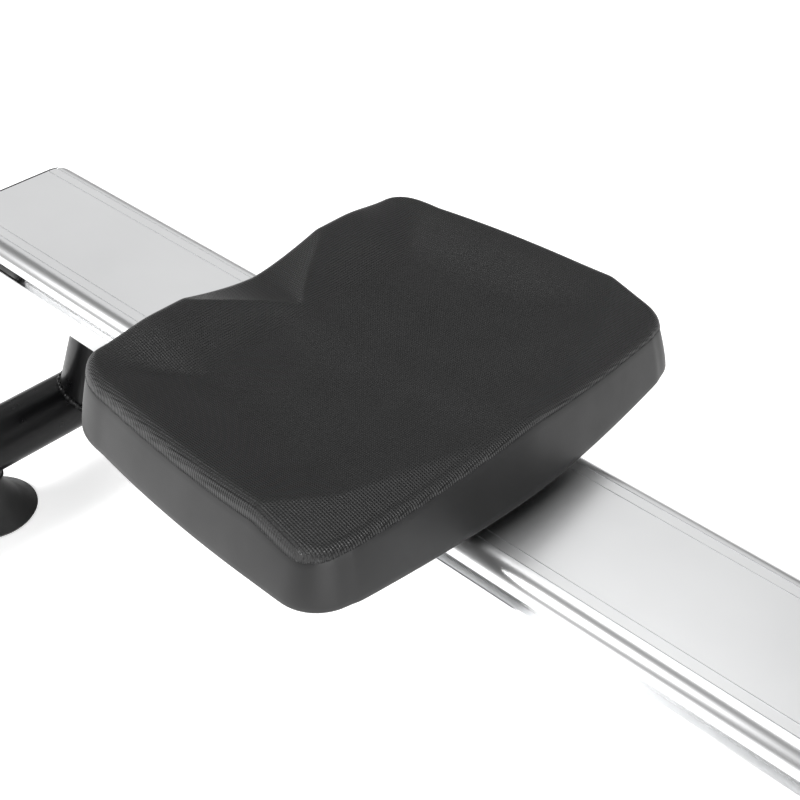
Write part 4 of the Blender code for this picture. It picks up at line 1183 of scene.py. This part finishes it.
def build_front_stand():
    """Side plates, bracket, front tube with its feet, and the transport wheels."""
    for node in ("side_plate_left", "side_plate_right", "rail_bracket"):
        dressed(node, "black_paint", 0.0008)
    a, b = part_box("front_stabiliser_tube")
    centre = (a + b) / 2
    r = (b.z - a.z) / 2
    profile = [(r - 0.002, a.y), (r, a.y), (r, b.y), (r - 0.002, b.y)]
    bm = spun(rounded_profile(profile, (1, 2), 0.0006, 3), (centre.x, 0, centre.z), (0, 1, 0), 72,
              closed=True)
    piece(bm, "front_cross_tube", "black_paint", "frame", ("front_stabiliser_tube",))
    for side, label in SIDES:
        dressed(f"front_foot_{label}", "black_rubber", 0.003, 4)
        node = f"transport_wheel_{label}"
        a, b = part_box(node)
        centre = (a + b) / 2
        r = (b.z - a.z) / 2
        half = (b.y - a.y) / 2
        tread = [(r * 0.62, -half), (r - 0.003, -half), (r, -half + 0.003)]
        for groove in (-0.33, 0.33):
            t = groove * half
            tread += [(r, t - 0.0012), (r - 0.0012, t - 0.0006), (r - 0.0012, t + 0.0006),
                      (r, t + 0.0012)]
        tread += [(r, half - 0.003), (r - 0.003, half), (r * 0.62, half)]
        bm = spun(rounded_profile(tread, (1, 2, 11, 12), 0.0016, 3), centre, (0, 1, 0), 72,
                  closed=True)
        piece(bm, f"transport_tyre_{label}", "black_rubber", node, (node,))
        web = [(0.0043, -half + 0.001), (0.009, -half + 0.001), (0.010, -half * 0.35),
               (r * 0.52, -half * 0.35), (r * 0.55, -half + 0.0015), (r * 0.62 - 0.0002, -half + 0.0015),
               (r * 0.62 - 0.0002, half - 0.0015), (r * 0.55, half - 0.0015),
               (r * 0.52, half * 0.35), (0.010, half * 0.35), (0.009, half - 0.001),
               (0.0043, half - 0.001)]
        piece(spun(web, centre, (0, 1, 0), 60, closed=True), f"transport_hub_{label}", "trim_grey",
              node)


# footplates -------------------------------------------------------------------------

SOLE_LOW = 0.028
SOLE_TOP = 0.040
SOLE_HALF = 0.060
SOLE_HEEL = 0.125
SOLE_TOE = 0.165
STRAP_FROM = 0.030
STRAP_TO = 0.085
ARCH_LIFT = 0.006            # the strap's sides stand this far before they curve in
ARCH_RISE = 0.078
RIBS = 11
RIB_START = 0.027            # ahead of the heel cup at the end of its slide
RIB_STEP = 0.0115


def build_footplates():
    """Ribbed soles on their cross shaft, with webbing straps, buckles and sliding heel cups."""
    a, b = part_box("foot_axle")
    centre = (a + b) / 2
    r = (b.z - a.z) / 2
    shaft = rounded_profile([(0, a.y), (r, a.y), (r, b.y), (0, b.y)], (1, 2), 0.0012, 4)
    piece(spun(shaft, (centre.x, 0, centre.z), (0, 1, 0), 48), "foot_cross_shaft", "zinc_steel",
          "frame", ("foot_axle",))
    for side, label in SIDES:
        place = Matrix.Translation(joint_place(f"footplate_swing_{label}"))
        place = place @ Matrix.Rotation(-PLATE_ANGLE, 4, "Y")
        build_sole(place, label, r)
        build_foot_strap(place, label)
        dressed(f"heel_cup_{label}", "trim_grey", 0.0012, 3, f"heel_rest_{label}")


def build_sole(place, label, shaft_radius):
    outline = rounded_rect(-SOLE_HEEL, SOLE_TOE, -SOLE_HALF, SOLE_HALF, 0.022)
    bm = slab(outline, "Z", SOLE_LOW, SOLE_TOP, 0.0022, 4)
    for i in range(RIBS):
        x = RIB_START + RIB_STEP * i
        inner = SOLE_HALF - 0.011 - (0.006 if i > 8 else 0.0)
        rib = block((x - 0.0018, -inner, SOLE_TOP - 0.0005), (x + 0.0018, inner, SOLE_TOP + 0.0011),
                    0.0006, 2)
        added(bm, rib)
    for y in (-0.046, -0.0155, 0.0155, 0.046):
        added(bm, block((-SOLE_HEEL + 0.014, y - 0.0014, SOLE_LOW - 0.0065),
                        (SOLE_TOE - 0.014, y + 0.0014, SOLE_LOW + 0.0005), 0.0004, 1))
    hub = framed(belt_outline((0.0, 0.0), 0.015, (0.0, SOLE_LOW - 0.016), 0.022, 24),
                 circle_line(0.0, 0.0, shaft_radius + 0.0003, 48), "Y", -0.040, 0.040, 0.001, 2)
    added(bm, hub)
    piece(laid(bm, place), f"sole_{label}", "housing_plastic", f"footplate_{label}",
          (f"footplate_{label}",), 34.0)


def strap_arch(reach, steps=48):
    """One face of the strap's arch over the foot, as (y, z) from side to side."""
    w = SOLE_HALF + reach
    line = [(-w, SOLE_LOW + 0.001)]
    for i in range(steps + 1):
        turn = math.pi * i / steps
        line.append((-w * math.cos(turn) * (1.0 - 0.10 * math.sin(turn)),
                     SOLE_TOP + ARCH_LIFT + (ARCH_RISE + reach) * math.sin(turn)))
    return line + [(w, SOLE_LOW + 0.001)]


def build_foot_strap(place, label):
    body = f"footplate_{label}"
    arch = strap_arch(0.0024) + strap_arch(0.0004)[::-1]
    bm = slab(arch, "X", STRAP_FROM, STRAP_TO, 0.0005, 2)
    piece(laid(bm, place), f"foot_webbing_{label}", "webbing", body, (f"foot_strap_{label}",), 50.0)
    top = SOLE_TOP + ARCH_LIFT + ARCH_RISE + 0.0024
    buckle = framed(rounded_rect(STRAP_FROM - 0.005, STRAP_TO + 0.005, -0.017, 0.017, 0.004),
                    rounded_rect(STRAP_FROM + 0.001, STRAP_TO - 0.001, -0.011, 0.011, 0.002),
                    "Z", top - 0.0015, top + 0.0030, 0.0009, 2)
    for y in (-0.004, 0.004):
        added(buckle, block((STRAP_FROM - 0.001, y - 0.0018, top - 0.0005),
                            (STRAP_TO + 0.001, y + 0.0018, top + 0.0025), 0.0007, 2))
    piece(laid(buckle, place), f"foot_buckle_{label}", "trim_grey", body)
    stitches = bmesh.new()
    for y in (-0.030, -0.034, 0.030, 0.034):
        for i in range(12):
            x = STRAP_FROM + 0.006 + i * 0.0039
            lift = math.sqrt(max(0.0, 1 - (y / (SOLE_HALF * 0.92)) ** 2))
            z = SOLE_TOP + ARCH_LIFT + (ARCH_RISE + 0.0024) * lift + 0.0012
            added(stitches, block((x, y - 0.0004, z - 0.0016), (x + 0.0026, y + 0.0004, z), 0.0002, 1))
    piece(laid(stitches, place), f"foot_stitching_{label}", "accent_grey", body)


# handle -----------------------------------------------------------------------------

GRIP_RIBS = 26
STRAP_SECTIONS = 40


def build_handle():
    """Bar, ribbed foam grips, yoke, the webbing pull strap, its guide and the handle's rest."""
    a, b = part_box("handle_bar")
    centre = (a + b) / 2
    r = (b.z - a.z) / 2
    bar = rounded_profile([(0, a.y), (r, a.y), (r, b.y), (0, b.y)], (1, 2), 0.0015, 4)
    piece(spun(bar, (centre.x, 0, centre.z), (0, 1, 0), 56), "pull_bar", "zinc_steel", "handle",
          ("handle_bar",))
    for side, label in SIDES:
        node = f"handle_grip_{label}"
        low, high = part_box(node)
        near, far = sorted((abs(low.y), abs(high.y)))
        outer = (high.z - low.z) / 2
        profile = [(r + 0.0004, near), (outer - 0.003, near), (outer - 0.0008, near + 0.002)]
        ribs = GRIP_RIBS
        for i in range(ribs * 4 + 1):
            share = i / (ribs * 4)
            wave = 0.5 + 0.5 * math.cos(math.tau * share * ribs)
            profile.append((outer - 0.0009 * wave, near + 0.006 + (far - near - 0.014) * share))
        profile += [(outer, far - 0.006), (outer - 0.001, far - 0.002), (outer - 0.005, far),
                    (0.0, far), (0.0, b.y + 0.0003), (r + 0.0004, b.y + 0.0003)]
        piece(spun(profile, (centre.x, 0, centre.z), (0, side, 0), 64, closed=True),
              f"foam_grip_{label}", "grip_foam", "handle", (node,), 50.0)
    build_yoke_and_strap(centre, r)
    dressed("strap_guide", "trim_grey", 0.0012, 3, "strap_mouth")
    dressed("handle_cradle", "trim_grey", 0.0012, 3, "handle_rest")


def build_yoke_and_strap(centre, bar_radius):
    a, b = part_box("handle_yoke")
    yoke = framed(rounded_rect(a.x, b.x, a.z, b.z, 0.014, 12),
                  circle_line(centre.x, centre.z, bar_radius + 0.0003, 64), "Y", a.y, b.y, 0.0025, 4)
    piece(yoke, "strap_yoke", "trim_grey", "handle", ("handle_yoke",), 34.0)
    low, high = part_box("pull_strap")
    strap = block(low, high, 0.0004, 2)
    for i in range(1, STRAP_SECTIONS):
        x = low.x + (high.x - low.x) * i / STRAP_SECTIONS
        bmesh.ops.bisect_plane(strap, geom=strap.verts[:] + strap.edges[:] + strap.faces[:],
                               dist=TINY / 10, plane_co=(x, 0, 0), plane_no=(1, 0, 0))
    mesh = bpy.data.meshes.new("pull_webbing")
    strap.to_mesh(mesh)
    strap.free()
    mesh.materials.append(finish("webbing").material)
    made = bpy.data.objects.new("pull_webbing", mesh)
    bpy.context.scene.collection.objects.link(made)
    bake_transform(made)
    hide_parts("pull_strap")
    stitches = bmesh.new()
    for y in (-0.0085, 0.0, 0.0085):
        for i in range(3):
            x = low.x + 0.0015 + i * 0.0033
            added(stitches, block((x, y - 0.0004, high.z - 0.0002),
                                  (x + 0.0022, y + 0.0004, high.z + 0.0004), 0.0002, 1))
    piece(stitches, "pull_strap_stitching", "accent_grey", "handle")


# console ----------------------------------------------------------------------------

MAST_R = 0.016
SCREEN_FACE = -0.04515       # the figures' front, just proud of the glass
BUTTON_PLACES = (0.066, 0.022, -0.022, -0.066)
BUTTON_R = 0.0095
SEGMENTS = {"top": (0, 1, 0), "middle": (0, 0, 0), "bottom": (0, -1, 0), "left_high": (-1, 0.5, 1),
            "left_low": (-1, -0.5, 1), "right_high": (1, 0.5, 1), "right_low": (1, -0.5, 1)}
DIGITS = {
    "0": ("top", "bottom", "left_high", "left_low", "right_high", "right_low"),
    "1": ("right_high", "right_low"),
    "2": ("top", "middle", "bottom", "right_high", "left_low"),
    "3": ("top", "middle", "bottom", "right_high", "right_low"),
    "4": ("middle", "left_high", "right_high", "right_low"),
    "5": ("top", "middle", "bottom", "left_high", "right_low"),
    "8": tuple(SEGMENTS),
}


def add_digits(bm, text, left, foot, height, front):
    """Seven-segment figures standing a hair proud of the screen, read from the rower's side."""
    wide = height * 0.46
    thick = height * 0.10
    y = left
    for mark in text:
        if mark == ":":
            for up in (0.3, 0.7):
                z = foot + height * up
                added(bm, block((front - 0.0002, y - thick * 1.4, z - thick / 2),
                                (front, y - thick * 0.4, z + thick / 2), 0.00005, 1))
            y -= thick * 2.4
            continue
        for name in DIGITS[mark]:
            across, up, upright = SEGMENTS[name]
            cy = y - wide / 2 - across * (wide - thick) / 2
            cz = foot + height / 2 + up * (height - thick) / 2
            dy, dz = (thick / 2, height / 4 - thick * 0.65) if upright else (wide / 2 - thick * 0.8,
                                                                              thick / 2)
            added(bm, block((front - 0.0002, cy - dy, cz - dz), (front, cy + dy, cz + dz),
                            0.00005, 1))
        y -= wide * 1.35
    return bm


def build_console():
    """Mast, its collar, the tilting console with bezel, screen, figures and buttons."""
    pivot = joint_place("console_tilt")
    top = pivot - LEAN * 0.010
    foot = top - LEAN * MAST_LENGTH
    radius = MAST_R
    length = (top - foot).length
    mast = spun([(0, 0), (radius, 0), (radius, length - 0.020), (radius + 0.0012, length - 0.018),
                 (radius + 0.0012, length - 0.006), (radius - 0.002, length - 0.0025),
                 (0, length - 0.0025)], foot, LEAN, 64)
    piece(mast, "mast_tube", "black_paint", "frame", ("console_mast",))
    knob, out = joint_place("knob_turn"), joint_axis("knob_turn").normalized()
    exit_point = top + LEAN * ((knob - top).dot(out) / LEAN.dot(out))
    collar = [(radius + 0.0002, -0.022), (radius + 0.012, -0.022), (radius + 0.011, 0.004),
              (radius + 0.007, 0.012), (radius + 0.003, 0.017), (radius + 0.0002, 0.017)]
    piece(spun(rounded_profile(collar, (2, 3, 4), 0.004, 5), exit_point, LEAN, 72, closed=True),
          "mast_collar", "black_rubber", "frame")
    low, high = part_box("console_hinge_pin")
    half = high.y
    pin = [(0, -half), (0.0038, -half), (0.0038, -0.0135), (0.0115, -0.0135), (0.0115, 0.0135),
           (0.0038, 0.0135), (0.0038, half), (0, half)]
    piece(spun(rounded_profile(pin, (1, 3, 4, 6), 0.0007, 3), pivot, (0, 1, 0), 48),
          "console_pivot_pin", "zinc_steel", "frame", ("console_hinge_pin",))
    place = Matrix.Translation(pivot) @ Matrix.Rotation(CONSOLE_TILT, 4, "Y")
    shell = slab(rounded_rect(-0.105, 0.105, -0.045, 0.100, 0.016), "X", -0.0440, -0.018, 0.006, 5)
    for side, _ in SIDES:
        near, far = sorted((side * 0.0145, side * 0.0225))
        ear = framed(belt_outline((-0.026, 0.0), 0.016, (0.0, 0.0), 0.010, 24),
                     circle_line(0.0, 0.0, 0.0043, 40), "Y", near, far, 0.0008, 2)
        added(shell, ear)
    piece(laid(shell, place), "console_shell", "housing_plastic", "console", ("console_body",), 34.0)
    bezel = framed(rounded_rect(-0.101, 0.101, -0.041, 0.096, 0.013),
                   rounded_rect(-0.0855, 0.0855, 0.0105, 0.0855, 0.003), "X", -0.0460, -0.0435,
                   0.0008, 3)
    piece(laid(bezel, place), "console_bezel", "trim_grey", "console")
    glass = block((-0.0452, -0.0853, 0.0107), (-0.0437, 0.0853, 0.0853), 0.0003, 2)
    piece(laid(glass, place), "console_display", "screen_glass", "console", ("console_screen",))
    figures = bmesh.new()
    add_digits(figures, "05:24", 0.074, 0.0500, 0.027, SCREEN_FACE)
    add_digits(figures, "28", -0.020, 0.0500, 0.027, SCREEN_FACE)
    add_digits(figures, "1340", 0.074, 0.0185, 0.019, SCREEN_FACE)
    add_digits(figures, "102", -0.020, 0.0185, 0.019, SCREEN_FACE)
    piece(laid(figures, place), "console_figures", "display_ink", "console")
    for i, y in enumerate(BUTTON_PLACES):
        cap = rounded_profile([(0, 0.0455), (BUTTON_R, 0.0455), (BUTTON_R, 0.0478), (0, 0.0482)], (2,),
                              0.0012, 4)
        button = spun(cap, (0, y, -0.016), (-1, 0, 0), 48)
        look = "accent_grey" if i < 3 else "black_rubber"
        piece(laid(button, place), f"console_button_{i + 1}", look, "console")


# stage ------------------------------------------------------------------------------

# name, place, aim, size across and down, power in watts
LAMPS = (
    ("side_softbox", (-1.75, -1.65, 1.45), (-0.58, 0.0, 0.25), (0.6, 0.6), 44.0),
    ("top_softbox", (-0.3, 0.4, 2.6), (-0.4, 0.0, 0.2), (2.6, 1.6), 27.0),
    ("back_softbox", (-2.1, 1.5, 1.9), (-0.58, 0.0, 0.25), (3.0, 2.2), 13.0),
    ("front_fill", (1.5, -0.9, 0.75), (-0.58, 0.0, 0.25), (1.8, 1.2), 34.0),
)
WORLD_STRENGTH = 0.22
FLOOR_GLOW = 0.50            # keeps the ground pure white under the soft light
FLOOR_SIZE = 30.0            # half the floor's side


def build_stage(settings):
    """The camera, the pale floor and the studio light."""
    seat = middle("seat_pad")
    aim = Vector((seat.x + settings.aim_ahead, -settings.aim_right,
                  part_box("rail")[1].z + settings.aim_above))
    turn, rise = settings.azimuth, settings.elevation
    back = Vector((math.sin(turn) * math.cos(rise), -math.cos(turn) * math.cos(rise),
                   math.sin(rise)))
    data = bpy.data.cameras.new("studio_camera")
    data.lens = settings.lens
    data.sensor_width = 36.0
    camera = bpy.data.objects.new("studio_camera", data)
    camera.location = aim + back * settings.distance
    camera.rotation_euler = (-back).to_track_quat("-Z", "Y").to_euler()
    bpy.context.scene.collection.objects.link(camera)
    bpy.context.scene.camera = camera
    bm = bmesh.new()
    bmesh.ops.create_grid(bm, x_segments=1, y_segments=1, size=FLOOR_SIZE)
    mesh = bpy.data.meshes.new("studio_floor")
    bm.to_mesh(mesh)
    bm.free()
    look = Finish("floor", settings.floor, 0.9, 0.0, 0.1)
    look.vary(tuple(settings.floor), 0.01, 0.6)
    look.set("Emission Color", (1.0, 1.0, 1.0, 1.0))
    look.set("Emission Strength", FLOOR_GLOW)
    mesh.materials.append(look.material)
    floor = bpy.data.objects.new("studio_floor", mesh)
    bpy.context.scene.collection.objects.link(floor)
    world = bpy.data.worlds.new("studio_light")
    world.use_nodes = True
    glow = world.node_tree.nodes["Background"]
    glow.inputs["Color"].default_value = (1.0, 1.0, 1.0, 1.0)
    glow.inputs["Strength"].default_value = WORLD_STRENGTH
    bpy.context.scene.world = world
    bpy.context.scene.view_settings.view_transform = "Standard"
    for values in LAMPS:
        lamp(*values)


def lamp(name, place, aim, size, power):
    data = bpy.data.lights.new(name, "AREA")
    data.shape = "RECTANGLE"
    data.size, data.size_y = size
    data.energy = power
    made = bpy.data.objects.new(name, data)
    made.location = place
    made.rotation_euler = (Vector(aim) - Vector(place)).to_track_quat("-Z", "Y").to_euler()
    bpy.context.scene.collection.objects.link(made)


# operators --------------------------------------------------------------------------

class ROWER_OT_finishes(Operator):
    """Make every material of the machine"""
    bl_idname = "rower.finishes"
    bl_label = "Finishes"

    def execute(self, context):
        scene = context.scene
        make_metals(scene.rower_rail, scene.rower_stand)
        make_soft_finishes(scene.rower_seat, scene.rower_stand)
        make_plastics(scene.rower_front)
        return {"FINISHED"}


class ROWER_OT_stage(Operator):
    """Set up the camera, the floor and the light"""
    bl_idname = "rower.stage"
    bl_label = "Stage"

    def execute(self, context):
        build_stage(context.scene.rower_stage)
        return {"FINISHED"}


class ROWER_OT_seat(Operator):
    """Mould the seat"""
    bl_idname = "rower.seat"
    bl_label = "Seat"

    def execute(self, context):
        build_seat(context.scene.rower_seat)
        return {"FINISHED"}


class ROWER_OT_rail(Operator):
    """Extrude the rail and fit its stops"""
    bl_idname = "rower.rail"
    bl_label = "Rail"

    def execute(self, context):
        build_rail(context.scene.rower_rail)
        return {"FINISHED"}


class ROWER_OT_rear_stand(Operator):
    """Build the rear tube, post and feet"""
    bl_idname = "rower.rear_stand"
    bl_label = "Rear stand"

    def execute(self, context):
        build_rear_stand(context.scene.rower_stand)
        return {"FINISHED"}


class ROWER_OT_carriage(Operator):
    """Build the carriage and its rollers"""
    bl_idname = "rower.carriage"
    bl_label = "Carriage"

    def execute(self, context):
        build_carriage()
        return {"FINISHED"}


class ROWER_OT_housing(Operator):
    """Mould the drive housing and its fittings"""
    bl_idname = "rower.housing"
    bl_label = "Drive housing"

    def execute(self, context):
        build_housing(context.scene.rower_front)
        build_knob()
        return {"FINISHED"}


class ROWER_OT_drive(Operator):
    """Build the flywheel, drum, belt and brake"""
    bl_idname = "rower.drive"
    bl_label = "Drive"

    def execute(self, context):
        build_drive()
        return {"FINISHED"}


class ROWER_OT_front_stand(Operator):
    """Build the side plates, front tube, feet and wheels"""
    bl_idname = "rower.front_stand"
    bl_label = "Front stand"

    def execute(self, context):
        build_front_stand()
        return {"FINISHED"}


class ROWER_OT_footplates(Operator):
    """Build the footplates with straps and heel cups"""
    bl_idname = "rower.footplates"
    bl_label = "Footplates"

    def execute(self, context):
        build_footplates()
        return {"FINISHED"}


class ROWER_OT_handle(Operator):
    """Build the handle, its grips and the pull strap"""
    bl_idname = "rower.handle"
    bl_label = "Handle"

    def execute(self, context):
        build_handle()
        return {"FINISHED"}


class ROWER_OT_console(Operator):
    """Build the mast and the console"""
    bl_idname = "rower.console"
    bl_label = "Console"

    def execute(self, context):
        build_console()
        return {"FINISHED"}


class ROWER_PT_panel(Panel):
    """The machine's builders and their settings"""
    bl_idname = "ROWER_PT_panel"
    bl_label = "Rowing machine"
    bl_space_type = "VIEW_3D"
    bl_region_type = "UI"
    bl_category = "Rower"

    def draw(self, context):
        for kind in OPERATORS:
            self.layout.operator(kind.bl_idname)
        for name, group in SETTINGS.items():
            column = self.layout.column(align=True)
            for key in group.__annotations__:
                column.prop(getattr(context.scene, name), key)


OPERATORS = (ROWER_OT_finishes, ROWER_OT_stage, ROWER_OT_seat, ROWER_OT_rail,
             ROWER_OT_rear_stand, ROWER_OT_carriage, ROWER_OT_housing, ROWER_OT_drive,
             ROWER_OT_front_stand, ROWER_OT_footplates, ROWER_OT_handle, ROWER_OT_console)
SETTINGS = {"rower_seat": SeatSettings, "rower_rail": RailSettings, "rower_stand": StandSettings,
            "rower_front": FrontSettings, "rower_stage": StageSettings}


def register():
    for name, group in SETTINGS.items():
        bpy.utils.register_class(group)
        setattr(bpy.types.Scene, name, PointerProperty(type=group))
    for kind in (*OPERATORS, ROWER_PT_panel):
        bpy.utils.register_class(kind)


def unregister():
    for kind in (ROWER_PT_panel, *OPERATORS[::-1]):
        bpy.utils.unregister_class(kind)
    for name, group in SETTINGS.items():
        delattr(bpy.types.Scene, name)
        bpy.utils.unregister_class(group)


def main():
    register()
    for kind in OPERATORS:
        family, name = kind.bl_idname.split(".")
        getattr(getattr(bpy.ops, family), name)()
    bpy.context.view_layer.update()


if __name__ == "__main__":
    main()
